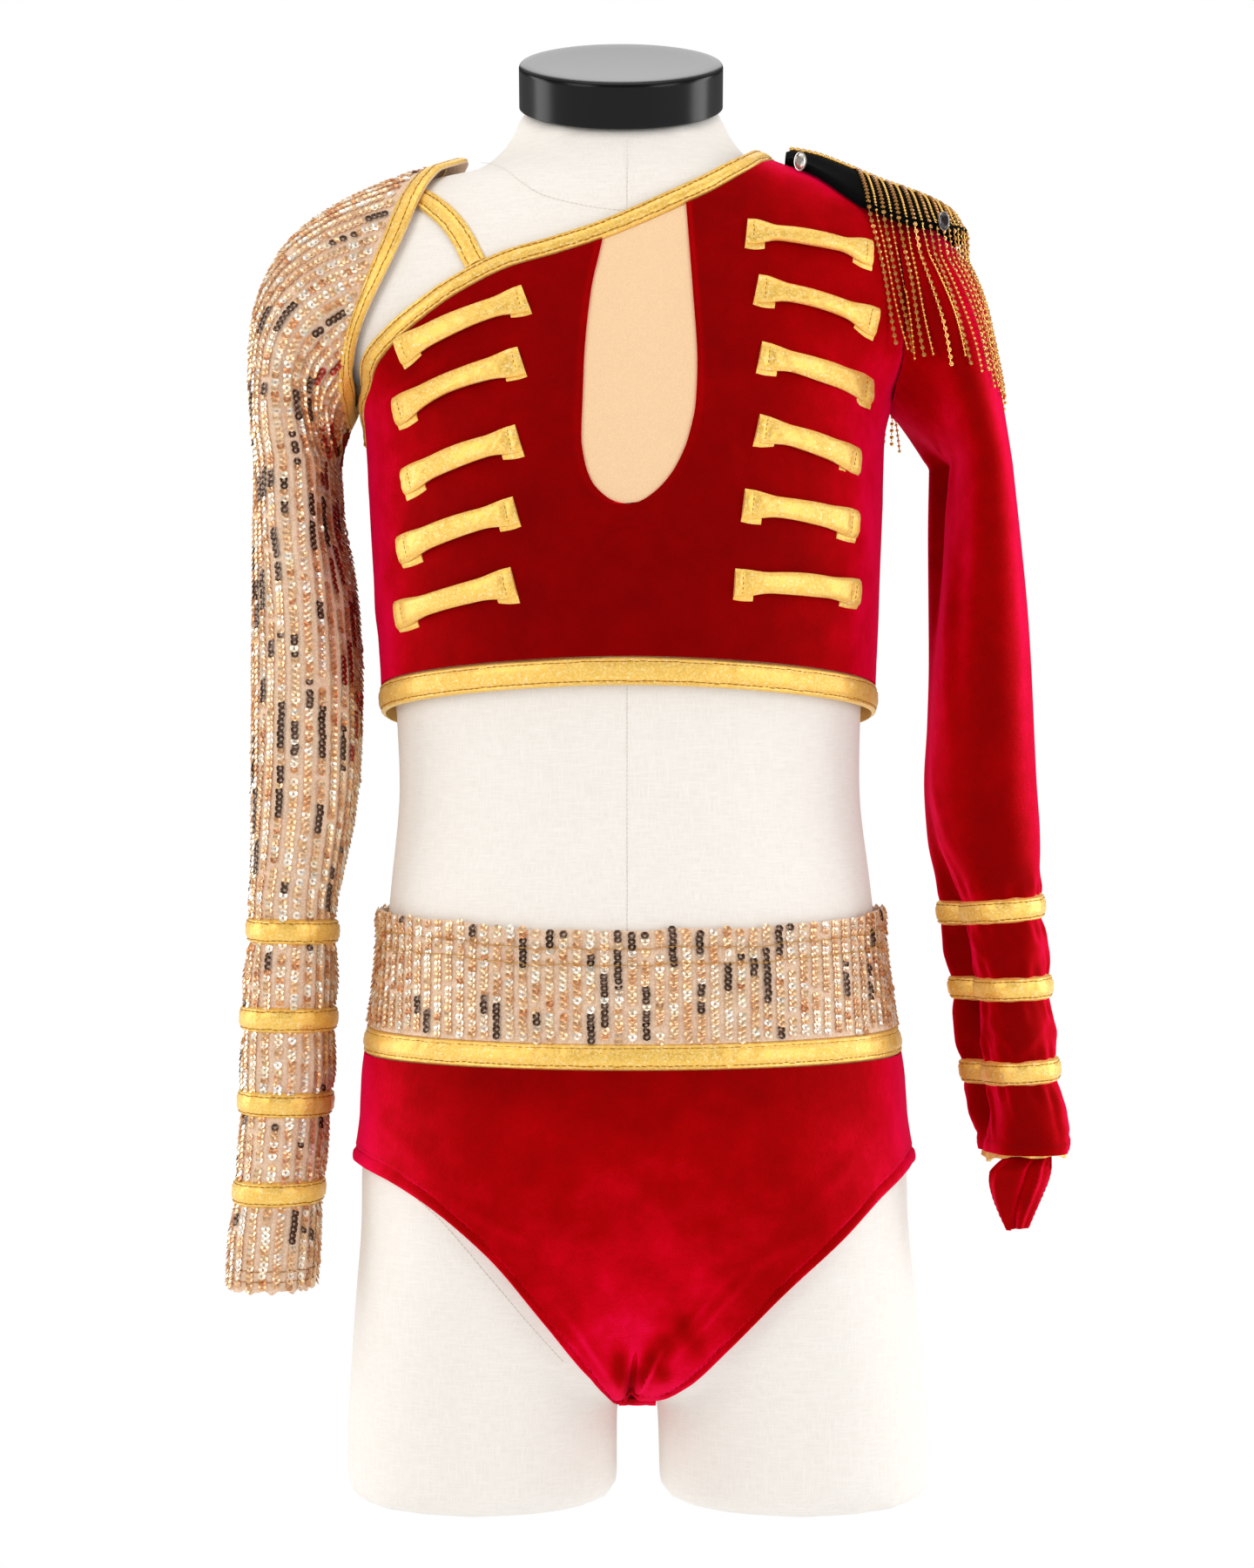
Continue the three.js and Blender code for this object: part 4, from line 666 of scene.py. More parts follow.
def dress_form():
    """Torso and thighs as closed lofts, made one by a fine voxel remesh and smoothed."""
    a = np.linspace(0, TURN, 200, endpoint=False)
    heights = np.concatenate([np.linspace(52, 130, 27), np.linspace(134, 480, 60), np.linspace(484, 600, 40)])
    rings = [place(form_radius, a, z) for z in heights]
    neck = spline(np.stack([rings[-1], *(neck_ring(a, *row) for row in NECK)]).swapaxes(0, 1), 5)
    parts = [loft([*rings[:-1], *neck.swapaxes(0, 1)])]
    for side in (-1, 1):
        legs = []
        for z in [0, 0.6, 2.2, 4.5, 8, 14, 22, 32, 42, 52, 60, 66]:
            inset = 3.5 if z > 64 else 0
            r = oval(a, *(LEG[n](np.float64(z)) - inset for n in ("half", "front", "back")), 2)
            x = lean(z) + side * LEG["centre"](np.float64(z)) + r * np.cos(a)
            legs.append(np.stack([x, -r * np.sin(a), np.full(a.shape, float(z))], -1))
        parts.append(loft(legs))
    piece = mesh("linen_form", *join(parts), LINEN, ride=False)
    for kind, values in (("REMESH", {"mode": "VOXEL", "voxel_size": 0.005, "use_smooth_shade": True}),
                         ("SMOOTH", {"factor": 0.5, "iterations": 5})):
        modifier = piece.modifiers.new(kind.lower(), kind)
        for key, value in values.items():
            setattr(modifier, key, value)
    made = bpy.data.meshes.new_from_object(piece.evaluated_get(bpy.context.evaluated_depsgraph_get()))
    piece.modifiers.clear()
    piece.data = made
    made.shade_smooth()
    if not made.materials:
        made.materials.append(LINEN)
    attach(piece, "root")
    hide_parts("dress_form")


dress_form()


def on_form(points, lift=0.0):
    """Moves points of a curve, given as (x, z) seen from the front, on to the front of the form."""
    x, z = np.asarray(points, float).T
    angle = angle_at(form_radius, x - lean(z), z)
    p = place(form_radius, angle, z)
    e = 1e-3
    du = place(form_radius, angle + e, z) - place(form_radius, angle - e, z)
    dv = place(form_radius, angle, z + 0.1) - place(form_radius, angle, z - 0.1)
    n = unit(np.cross(dv, du))
    return p + n * lift, n


def neck_cap():
    """A drum on the tilted neck: a profile of radius and height, its upper edge rounded."""
    a = np.linspace(0, TURN, 96, endpoint=False)
    radius, height, rounding = 46.6, 20.8, 2.4
    edge = [[0.3, 0], [radius - 0.5, 0], [radius, 0.5], [radius, height - 3]]
    edge += [[radius - rounding + rounding * math.cos(t), height - 2.6 + rounding * math.sin(t)]
             for t in np.linspace(0, 1.45, 7)]
    edge += [[radius - 5, height - 0.1], [radius - 12, height - 0.35], [0.3, height - 0.4]]
    y, z, tilt = NECK[-1][0], NECK[-1][1], math.radians(NECK[-1][4])
    rings = []
    for r, h in edge:
        back = -r * np.sin(a)
        up = h + 0.3
        rings.append(np.stack([lean(z) + r * np.cos(a), y + back * math.cos(tilt) - up * math.sin(tilt),
                               z + back * math.sin(tilt) + up * math.cos(tilt)], -1))
    mesh("cap", *loft(rings), CAP, sharp=35, node="neck_cap")


neck_cap()

# Top: its edges, as height by angle or as rows of x and height
HEM_TRIM, NECK_TRIM = 12.5, 9
hem_z = lambda a: 356.5 + 12.5 * np.sin(a) - np.sin(a) ** 2
hem_top = lambda a: hem_z(a) + HEM_TRIM + 0.3
NECK_FRONT = [[-117, 480], [-118, 491], [-115, 508], [-107, 521], [-93, 532.5], [-75.5, 544.5], [-54, 555.5],
              [-29, 563], [-6, 571], [14, 580], [35.5, 590.5], [53, 601], [62, 608], [66.5, 611]]
NECK_BACK = [
    [-117, 480], [-118, 490], [-116, 503], [-104, 518], [-80, 537], [-45, 558], [-10, 574], [22, 587],
    [45, 597], [58, 605], [66.5, 611]]
# The keyhole: height, and x of its two edges
KEYHOLE = np.array([[446.3, 1, 1], [447.2, -4, 5], [449.9, -9, 10], [456.3, -14.7, 17], [464.6, -17.6, 22.6],
                    [475.7, -19, 27.3], [492.6, -18.3, 30.9], [511.7, -17.4, 31.8], [540.7, -14.3, 30.5],
                    [564, -9.2, 29.2], [585, -5, 28]], float)


def surface_line(radius, angle, z):
    """Points and outward normals of a line on a surface."""
    p = place(radius, angle, z)
    du = place(radius, angle + 1e-3, z) - place(radius, angle - 1e-3, z)
    dv = place(radius, angle, z + 0.05) - place(radius, angle, z - 0.05)
    return p, unit(np.cross(dv, du))


def neckline(rows, front):
    """A neckline's points and normals: a spline through its rows, on the top's face."""
    x, z = np.array(rows, float).T
    a = angle_at(top_radius, x, z, front)
    chest = 100  # turns the angle into roughly a length
    flat = even(spline(np.stack([a * chest, z, 0 * z], -1), 20), 180)
    return surface_line(top_radius, flat[:, 0] / chest, flat[:, 1])


def edge_below(line, drop, front):
    """Where the cloth ends below its binding, as height by angle."""
    p, n = line
    across = np.cross(unit(np.gradient(p, axis=0)), n)
    across *= -np.sign(across[:, 2:3])
    q = p + across * drop
    a = np.arctan2(-q[:, 1], q[:, 0] - lean(q[:, 2]))
    if not front:
        a = np.where(a > 0, a, a + TURN)
    keep = (a > 0.01) & (a < math.pi - 0.005) if front else a > math.pi + 0.005
    a, z = a[keep], q[keep, 2]
    order = np.argsort(a)
    a, z = a[order], z[order]
    keep = np.concatenate([[True], np.diff(a) > 1e-3])
    return curve(a[keep], z[keep])


neck_lines = {True: neckline(NECK_FRONT, True), False: neckline(NECK_BACK, False)}
neck_edge = {k: edge_below(v, NECK_TRIM / 2 + 0.2, k) for k, v in neck_lines.items()}


def panel(radius, share, rise, left, right, low, high):
    """Points of a panel: share across between two edges, rise up between two heights."""
    share, rise = np.meshgrid(share, rise)
    z = mix(low(mix(left(400.0), right(400.0), share)), 520, rise)
    for _ in range(28):
        a = mix(left(z), right(z), share)
        z = mix(z, mix(low(a), high(a), rise), 0.6)
    return place(radius, a, z)


def creases(p, strokes):
    """Folds given as rows of x, z, direction in degrees, length, width and height."""
    total = np.zeros(p.shape[:2])
    for x, z, way, length, width, height in strokes:
        total += height * stroke(p[..., 0] - x, p[..., 2] - z, way, length, width)
    return total


TOP_FOLDS = [
    [2, 441, 4, 14, 1.8, 1.3], [-6, 436, -8, 12, 1.6, -0.9], [10, 434, 14, 16, 2.2, 1.0],
    [-14, 428, 60, 13, 2.4, 0.7], [22, 425, -50, 15, 2.6, 0.8], [-104, 425, 68, 26, 4, 0.9],
    [-108, 400, 80, 22, 4, -0.8], [104, 440, 100, 30, 4, 0.9], [107, 405, 84, 26, 5, -0.9],
    [60, 383, 20, 26, 4, 0.8], [-58, 386, -16, 30, 5, 0.9], [10, 392, 3, 34, 5, -0.7],
    [-40, 458, 84, 22, 3.4, 0.6], [44, 470, 98, 26, 3.6, 0.7], [-30, 405, 70, 22, 5, 0.7],
    [36, 402, 112, 20, 5, 0.7], [96, 505, 140, 18, 3, 1.1], [104, 498, 118, 16, 2.6, -0.9],
    [84, 470, 150, 26, 4, 0.7], [-96, 500, 30, 18, 3, 0.8], [-88, 470, 18, 24, 4, 0.6]]

VELVET_RIM = [[120.5, 0, 590], [121, 25, 582], [122.5, 39, 567], [124, 45, 548], [124.5, 42, 530],
              [122.5, 30, 512], [120.5, 15, 500], [120, 0, 495.5]]
rim_x = curve([r[2] for r in VELVET_RIM], [r[0] for r in VELVET_RIM])


def under_sleeve(p):
    """0 on the open cloth and 1 where the sleeve covers it."""
    past = p[..., 0] - rim_x(p[..., 2])
    return smooth(-1.2, 0.6, past) * (p[..., 2] > 494)


def keyhole_edge(k, out=0.0):
    """Angle by height of the keyhole's edge in column k of its table."""
    x = curve(KEYHOLE[:, 0], KEYHOLE[:, k])
    return lambda z: angle_at(top_radius, x(z) + out, z)


def keyhole_foot(above=0.0):
    """The keyhole's lowest place, as a share of the way up from the hem to the neckline."""
    a = float(angle_at(top_radius, 1.0, KEYHOLE[0, 0]))
    return float((KEYHOLE[0, 0] + above - hem_top(a)) / (neck_edge[True](a) - hem_top(a)))


def top_panel(name, node, front):
    """The front in two halves, left and right of the keyhole, or the back in one."""
    high = neck_edge[front]
    gap = lambda z: HALF_SEAM / top_radius(0.0, np.float64(450)) + 0 * z
    rise = np.linspace(0, 1, 70)
    if front:
        level = keyhole_foot()
        low = np.linspace(0, level, 32)
        rise = np.concatenate([low, level + (1 - level) * np.linspace(0, 1, 84)[1:] ** 1.25])
        halves = [(gap, keyhole_edge(2)), (keyhole_edge(1), lambda z: math.pi - gap(z))]
    else:
        halves = [(lambda z: TURN - gap(z), lambda z: math.pi + gap(z))]
    parts, uvs, tints = [], [], []
    for left, right in halves:
        share = np.linspace(0, 1, 54 if front else 96)
        p = panel(top_radius, share, rise, left, right, hem_top, high)
        n = outward(p)
        folds = creases(p, TOP_FOLDS if front else BACK_FOLDS)
        raw = 0.0
        if front:
            # Cut velvet rolls a little where the keyhole's edge is left raw; the roll is also painted lighter
            # in the colour, a painted highlight
            distance = np.linalg.norm(p - (p[:, -1:] if left is gap else p[:, :1]), axis=-1)
            raw = 0.55 * bump(distance, 1.2, 1.0) * (p[..., 2] > KEYHOLE[0, 0] - 1)
        seam = -0.45 * bump(p[..., 2], hem_top(math.pi / 2), 0.1)
        hide = under_sleeve(p)
        hi = mix(VELVET_THICK + folds + raw + seam, 0.35, hide)
        lo = mix(np.clip(folds, -0.6, 2) * 0.8, -0.4, hide)
        verts, faces, uv = wall_arrays(p, lo, hi, n=n)
        parts.append((verts, faces))
        uvs.append(uv)
        tint = painted_velvet_light(verts)
        # Painted highlight along the keyhole's rolled edge, added to the tint
        tint[: p.shape[0] * p.shape[1], :3] += 0.8 * np.ravel(np.broadcast_to(raw, p.shape[:2]))[:, None]
        tints.append(tint)
    verts, faces = join(parts)
    mesh(name, verts, faces, VELVET, uv=np.concatenate(uvs), tint=np.concatenate(tints), node=node)


BACK_FOLDS = [[-60, 400, 30, 30, 5, 0.8], [55, 396, -26, 34, 5, 0.8], [0, 420, 88, 40, 7, 0.6],
              [-90, 470, 60, 26, 4, 0.7], [92, 480, 110, 26, 4, 0.8], [20, 380, 4, 40, 5, 0.7]]
top_panel("velvet_top_front", "top_front", True)
top_panel("velvet_top_back", "top_back", False)


def keyhole_mesh():
    """Net that fills the keyhole, with three soft folds."""
    level = keyhole_foot(0.6)
    p = panel(top_radius, np.linspace(0, 1, 36), level + (1 - level) * np.linspace(0, 1, 64) ** 1.3,
              keyhole_edge(2, 0.2), keyhole_edge(1, -0.2), hem_top, neck_edge[True])
    folds = creases(p, [[8, 455, 80, 12, 3, 0.3], [4, 520, 92, 40, 4, 0.25], [18, 560, 60, 20, 4, 0.3]])
    wall("keyhole_net", "keyhole_mesh", p, -0.1, 0.55 + folds, MESH)


keyhole_mesh()


# Bindings: folded gold cloth along a line
def binding(name, node, line, width, seed, thick=2.4, lo=0.0, rows=13, closed=False, pucker=0.22, inset=2.0):
    """A folded strip along a line: its section is 1 - v^5 under a root, pinched along its two rows of
    stitches and puckered by sums of waves. Gives back the lines of the stitches."""
    p, n = line
    t = unit(np.gradient(p, axis=0)) if not closed else unit(np.roll(p, -1, 0) - np.roll(p, 1, 0))
    across = unit(np.cross(t, n))
    v = np.linspace(-1, 1, rows)
    grid = p[None] + across[None] * (v[:, None, None] * width / 2)
    s = np.cumsum(np.linalg.norm(np.gradient(p, axis=0), axis=1))
    g = np.random.default_rng(seed)
    wave = sum(g.uniform(0.4, 1) * np.sin(TURN * s / w + g.uniform(0, 6)) for w in (3.1, 4.7, 8.3, 17.0))
    slant = sum(g.uniform(0.3, 1) * np.sin(TURN * (s[None] + k * v[:, None] * width) / w)
                for w, k in ((3.7, 0.8), (5.9, -0.6), (9.4, 0.4)))
    crown = (1 - np.abs(v) ** 5)[:, None] ** 0.5
    spots = np.array([-1, 1]) * (1 - 2 * inset / width)
    dents = sum(bump(v, q, 1.9 / width)[:, None] for q in spots)
    face = lo + 0.5 + (thick - lo - 0.5) * crown
    face = face + pucker * (0.35 * wave[None] + 0.4 * slant) * crown - 0.75 * dents
    wall(name, node, grid, lo, face, FOIL, wrap=closed, n=np.broadcast_to(n[None], grid.shape))
    at = [int(round((q + 1) / 2 * (rows - 1))) for q in spots]
    return [(p + across * (q * width / 2) + n * face[j][:, None], n) for q, j in zip(spots, at)]


gold_lines = []
for front in (True, False):
    p, n = neck_lines[front]
    keep = (p[:, 1] < -0.15) if front else (p[:, 1] > 0.15)
    name = "neck_binding_front" if front else "neck_binding_back"
    gold_lines += binding(name + "_gold", name, (p[keep], n[keep]), NECK_TRIM, inset=1.9, seed=3 + front)

angle = np.linspace(0, TURN, 300, endpoint=False)
hem_line = surface_line(top_radius, angle, hem_z(angle) + HEM_TRIM / 2)
gold_lines += binding("hem_binding_gold", "hem_binding", hem_line, HEM_TRIM, closed=True, thick=2.6,
                      pucker=0.3, seed=9)

# Strap: rows of angle in degrees and height
STRAP = np.array([[138, 555], [140.5, 561], [142.5, 566], [146, 573], [151, 580.5], [157, 587], [166, 592],
                  [180, 594.5], [196, 592], [210, 584], [221, 573], [227, 562], [231, 552]], float)
DEGREE = 1.8  # mm to a degree, near enough, at the shoulder
flat = even(spline(np.stack([STRAP[:, 0] * DEGREE, STRAP[:, 1], 0 * STRAP[:, 0]], -1), 16), 150)
strap_line = surface_line(form_radius, np.radians(flat[:, 0] / DEGREE), flat[:, 1])
gold_lines += binding("strap_gold", "shoulder_strap", strap_line, 10, thick=2.1, lo=0.4, inset=2.2, seed=5)

# Bars: flattened loops of gold cloth between two places x, z, with their folded tabs below the ends
BARS = [["bar_left_1", -98, 517.5, -46.5, 537], ["bar_left_2", -99, 491, -48, 509],
        ["bar_left_3", -95, 459.5, -49, 474.7], ["bar_left_4", -97, 429.5, -50, 443.4],
        ["bar_left_5", -98.5, 400.8, -51, 412.7], ["bar_right_1", 55, 568.5, 106, 561.5],
        ["bar_right_2", 59, 542.2, 107.5, 530.8], ["bar_right_3", 60, 512, 105, 501.2],
        ["bar_right_4", 58.5, 479.5, 99, 468.7], ["bar_right_5", 52.5, 446.7, 98, 440.7],
        ["bar_right_6", 48.7, 412.6, 99, 410.5]]


def bar(name, x1, z1, x2, z2, k):
    """One bar and its two tabs: a strip that flares at its ends, bows off the cloth by sin(pi t)^0.7, and
    is tucked near each end, where a thread goes across it."""
    g = np.random.default_rng(40 + k)
    over, last, tab_length = 2.5, 55, 9  # mm past each end, steps along it, mm of folded end
    length = math.hypot(x2 - x1, z2 - z1) + 2 * over
    t = np.linspace(0, 1, last + 1)
    s = mix(-over, length - over, t) / (length - 2 * over)
    bow = g.uniform(0.4, 1.6)
    z = mix(z1, z2, s) + bow * np.sin(math.pi * np.clip(s, 0, 1))
    p, n = surface_line(top_radius, angle_at(top_radius, mix(x1, x2, s) - lean(z), z), z)
    way = unit(np.gradient(p, axis=0))
    up = unit(np.cross(n, way))
    up *= np.sign(up[:, 2:3])
    end = np.minimum(t, 1 - t) * length
    flare = 1.1 * (1 - smooth(2, 16, end))
    v = np.linspace(-1, 1, 11)[:, None]
    waist = {"bar_right_1": 1.7, "bar_right_2": 1.1}.get(name, 0.45)
    half = 5.2 - waist * smooth(3, 14, end) + flare + 0.25 * np.sin(t * g.uniform(5, 9) + g.uniform(0, 6))
    grid = p[None] + up[None] * (v * half[None])[..., None]
    lift = (1.5 + g.uniform(0, 0.8)) * np.sin(math.pi * t) ** 0.7
    wave = sum(g.uniform(0.2, 1) * np.sin(TURN * (t * length + c * v * 6) / w + g.uniform(0, 6))
               for w, c in ((7, 0.5), (4.3, -0.8), (13, 0.3)))
    tuck = 0.55 * bump(end, 4, 1.1)[None]
    crown = (1 - np.abs(v) ** 3) ** 0.6
    face = 2.35 + lift + (1.5 + 0.12 * wave) * crown - tuck * crown
    low = 1.75 + 0.75 * lift + 0 * face
    verts, faces, _ = wall_arrays(grid, low, face, n=np.broadcast_to(n[None], grid.shape))
    parts, thread = [(verts, faces)], []
    for i in (0, -1):
        # The folded end that shows below the bar
        keep = (t if i == 0 else 1 - t) * length < tab_length
        q, m, u = p[keep], n[keep], up[keep]
        w = np.linspace(0, 1, 7)[:, None]
        slant = g.uniform(-0.8, 0.8) * np.linspace(-1, 1, keep.sum())
        depth = -(half[keep] + mix(-2.5, 1.4 + g.uniform(0, 1.2), w) + slant * w)
        tab = q[None] + u[None] * depth[..., None]
        out = 1.65 + 0.5 * (1 - np.abs(2 * w - 1) ** 4) + 0 * depth
        parts.append(wall_arrays(tab, 1.5 + 0 * out, out, n=np.broadcast_to(m[None], tab.shape))[:2])
        at = int(4 / length * last)
        j = at if i == 0 else last - at
        col = p[j] + up[j] * (v * half[j] * 0.86)
        rise = (face[:, j] + 0.05)[:, None]
        thread.append((col + n[j] * rise, np.repeat(n[j][None], len(v), 0)))
    mesh(name + "_gold", *join(parts), FOIL, node=name)
    return thread


bar_threads = []
for k, row in enumerate(BARS):
    bar_threads += bar(*row, k)


# Sleeves: tubes that hang from the shoulder, each face a function of length down it and turn round it
VELVET_TUBE = curves("outer inner fold front back", [
    [470, 176.5, 139, 147, 43, 44], [438, 179.8, 138.4, 145.2, 42, 43], [405, 182.8, 138.6, 142.4, 40, 42],
    [381, 184.4, 138.8, 140.4, 39, 41], [352, 186, 138, 139, 38, 40], [325, 187.6, 136.4, 138, 37, 38],
    [301, 189.2, 137.6, 141, 35, 36], [283, 189.4, 140.4, 148, 32, 33], [266, 189.6, 143.4, 154, 28, 29],
    [249, 192.6, 144.6, 156.5, 29, 30], [230, 193.2, 149, 160.5, 26, 27], [211, 196, 150, 162, 27.5, 28.5],
    [192, 196.8, 154, 163.8, 25, 26], [175, 201.6, 155, 166.5, 28, 28], [163, 203, 159.5, 164, 29, 29],
    [157, 202.4, 160.5, 163.5, 28.5, 28]])
SEQUIN_TUBE = curves("outer inner fold front back", [
    [470, 169.7, 132, 134, 41, 42], [445, 170, 130.4, 132, 41, 42], [426, 170.5, 126.4, 128, 40, 41],
    [404, 170.8, 123.6, 124.4, 39, 40], [372, 171.2, 122.2, 122.2, 37, 38], [337, 171.3, 123, 123, 36, 37],
    [309, 171.4, 126, 126, 34, 35], [285, 171.6, 131, 131, 31, 32], [269, 172.6, 134.2, 134.2, 28, 29],
    [256, 172.3, 134.6, 134.6, 26.5, 27], [235, 175.2, 133.6, 133.6, 28.5, 29],
    [216, 175.4, 135.3, 135.3, 26, 26.5], [196, 176.6, 134.6, 134.6, 27.5, 28],
    [177, 176.4, 137.2, 137.2, 25, 25.5], [155, 177.8, 138.4, 138.4, 27, 27.5],
    [137, 178.8, 141, 141, 25, 25.5], [117, 182, 141.4, 141.4, 26.5, 27], [95, 183.2, 143, 143, 26.5, 27]])
SEQUIN_RIM = [
    [-71, 0, 606.5], [-79, 20, 603], [-90, 37, 588], [-98, 46, 569], [-107, 48, 549], [-116, 43, 529],
    [-121, 31, 511], [-123.5, 16, 500], [-124, 0, 496]]
VELVET_CROWN = [[120.5, 590], [134, 583.5], [148, 573], [159, 556], [166, 531], [172, 500], [176.5, 470]]
SEQUIN_CROWN = [
    [-71, 606.5], [-96, 602], [-116, 595.5], [-138, 583.5], [-152, 569.5], [-162, 549], [-168, 513],
    [-169.7, 470]]
TUBE_TOP, VELVET_END, SEQUIN_END = 470, 157, 95
BANDED = 300  # below this height the cloth is gathered into the bands
ARM_HALF = 20
ARM_RADIUS, ARM_ROUND = 38.0, 238.8  # of the sleeves where they are folded
VELVET_CAP_ROWS, SEQUIN_CAP_ROWS = 40, 48
VELVET_BANDS = np.array([[267.6, -0.1], [232, -0.04], [194, -0.06]])
SEQUIN_BANDS = np.array([[258, -0.03], [218, -0.02], [179.5, -0.03], [139, 0.01]])


def velvet_folds(z, turn):
    """How far the velvet sleeve stands out: pleats above the bands, less three long hollows."""
    pinch = sum(bump(z, q, 9) for q in VELVET_BANDS[:, 0])
    gathers = 0.8 * np.sin(6 * turn + z / 19) * smooth(296, 276, z) * (1 - np.clip(pinch, 0, 1))
    long = (2.6 * bump(turn, 2.06, 0.262) * bump(z, 420, 90)
            + 1.6 * bump(turn, 1.082, 0.297) * bump(z, 390, 80))
    return gathers - long - 2 * bump(turn, 4.1, 0.279) * bump(z, 400, 90)


def sequin_folds(z, turn):
    """How far the sequin sleeve stands out: less three long hollows."""
    return -(2.4 * bump(turn, 2.234, 0.297) * bump(z, 455, 70)
             + 1.8 * bump(turn, 1.222, 0.279) * bump(z, 430, 60)
             + 2 * bump(turn, 4.014, 0.279) * bump(z, 430, 80))


def tube_point(tube, z, turn, folds):
    """Points of a hanging tube: an oval of power 2.2 by turn, its sizes by height, notched inside a fold."""
    z, turn = np.broadcast_arrays(np.asarray(z, float), turn)
    outer, inner, fold, front, back = (tube[k](z) for k in ("outer", "inner", "fold", "front", "back"))
    middle = (outer + np.minimum(inner + 4, fold)) / 2 + 2
    c, s = np.cos(turn), np.sin(turn)
    reach = mix(middle - fold, middle - inner, smooth(2.932, 3.491, turn))
    notch = np.clip((fold - inner) / 8, 0, 1) * 5 * bump(turn, 3.176, 0.209)
    across = np.where(c > 0, outer - middle, reach - notch)
    deep = np.where(s > 0, front, back)
    r = ((np.abs(c) / np.maximum(across, 4)) ** 2.2 + (np.abs(s) / deep) ** 2.2) ** (-1 / 2.2)
    out = r + folds(z, turn)
    return np.stack([middle + out * c, -out * s, z], -1)


def out_of_form(p):
    """Distance from the form's face, and the direction that leads straight off it."""
    def gap(q):
        x = q[..., 0] - lean(q[..., 2])
        return np.hypot(x, q[..., 1]) - form_radius(np.arctan2(-q[..., 1], x), q[..., 2])

    e = 0.2
    way = np.stack([(gap(p + e * axis) - gap(p - e * axis)) / (2 * e) for axis in np.eye(3)], -1)
    steep = np.linalg.norm(way, axis=-1, keepdims=True)
    return gap(p) / steep[..., 0], way / steep


def clear_of_form(p, least):
    """Points moved off the form until none is nearer to it than this."""
    for _ in range(3):
        distance, way = out_of_form(p)
        wanted = -soft_min(-distance, -least + 0 * distance, 2)
        step = np.where(distance < least + 2, np.minimum(wanted - distance, 12), 0)
        p = p + way * step[..., None]
    return p


def closed_spline(points, dense=24):
    """The same spline through a closed row of points."""
    p = np.asarray(points, float)
    k = len(p)
    return spline(np.concatenate([p[-3:], p, p[:3]]), dense)[3 * dense : (k + 3) * dense + 1]


def rim_of(rows):
    """The armhole's rim by turn, from the top of the shoulder down the front and up the back."""
    rows = np.array(rows, float)
    front = np.stack([rows[:, 0], -rows[:, 1], rows[:, 2]], -1)
    back = np.stack([rows[:, 0], rows[:, 1] * 1.06, rows[:, 2]], -1)[1:-1][::-1]
    line = closed_spline(np.concatenate([front, back]))
    half = arc(spline(front))[-1]
    whole = arc(line)[-1]

    def at(turn):
        t = np.mod(turn, TURN) / math.pi
        return along(line, np.where(t < 1, t * half, half + (t - 1) * (whole - half)))

    return at


def sleeve_points(side, rim, crown, tube, folds, least, spread, cap_rows, tube_heights):
    """Grid of the outer face: cap_rows even steps over the shoulder, then the given heights."""
    crown = np.array(crown, float)
    line = even(spline(np.stack([crown[:, 0], 0 * crown[:, 0], crown[:, 1]], -1)), 8)
    flip = np.array([side, 1, 1])
    start = rim(TURNS)
    stop = tube_point(tube, TUBE_TOP, TURNS, folds) * flip
    # The shoulder's own curve is added in full on top and fades out towards the armpit
    over = (((1 + np.cos(TURNS)) / 2) ** 1.15)[:, None]
    points = []
    for i in range(8):
        t = i / 7
        bulge = (line[i] - mix(line[0], line[-1], t)) * over
        bulge[:, 1] = -6 * np.sin(TURNS) * math.sin(math.pi * t)
        bulge[:, 0] += side * spread * np.abs(np.sin(TURNS)) * math.sin(math.pi * t)
        points.append(clear_of_form(mix(start, stop, t) + bulge, least + (0.3 if i else 0)))
    points.append(tube_point(tube, TUBE_TOP - 14, TURNS, folds) * flip)
    lines = spline(np.stack(points, 1), 16)
    length = np.array([arc(line)[7 * 16] for line in lines])
    down = np.linspace(0, 1, cap_rows, endpoint=False)
    cap = [along(line, down * used) for line, used in zip(lines, length)]
    z, a = np.meshgrid(tube_heights, TURNS, indexing="ij")
    below = tube_point(tube, z, a, folds) * flip
    return np.concatenate([np.stack(cap, 1), below]), length


def sleeve_normals(p):
    """Normals of a sleeve's grid, turned to point away from its middle."""
    n = normals(p, True)
    middle = p.mean(1, keepdims=True)
    return n * np.sign(np.sum(n * (p - middle), -1).mean())


def sleeve_creases(height, strokes):
    """Folds given on a sleeve as rows of turn, z, direction in degrees, length, width and height."""
    total = np.zeros(height.shape)
    for turn, z, way, length, width, high in strokes:
        dx = np.mod(TURNS[None] * ARM_RADIUS - turn * ARM_RADIUS + ARM_ROUND / 2, ARM_ROUND) - ARM_ROUND / 2
        total += high * stroke(dx, height - z, way, length, width)
    return total


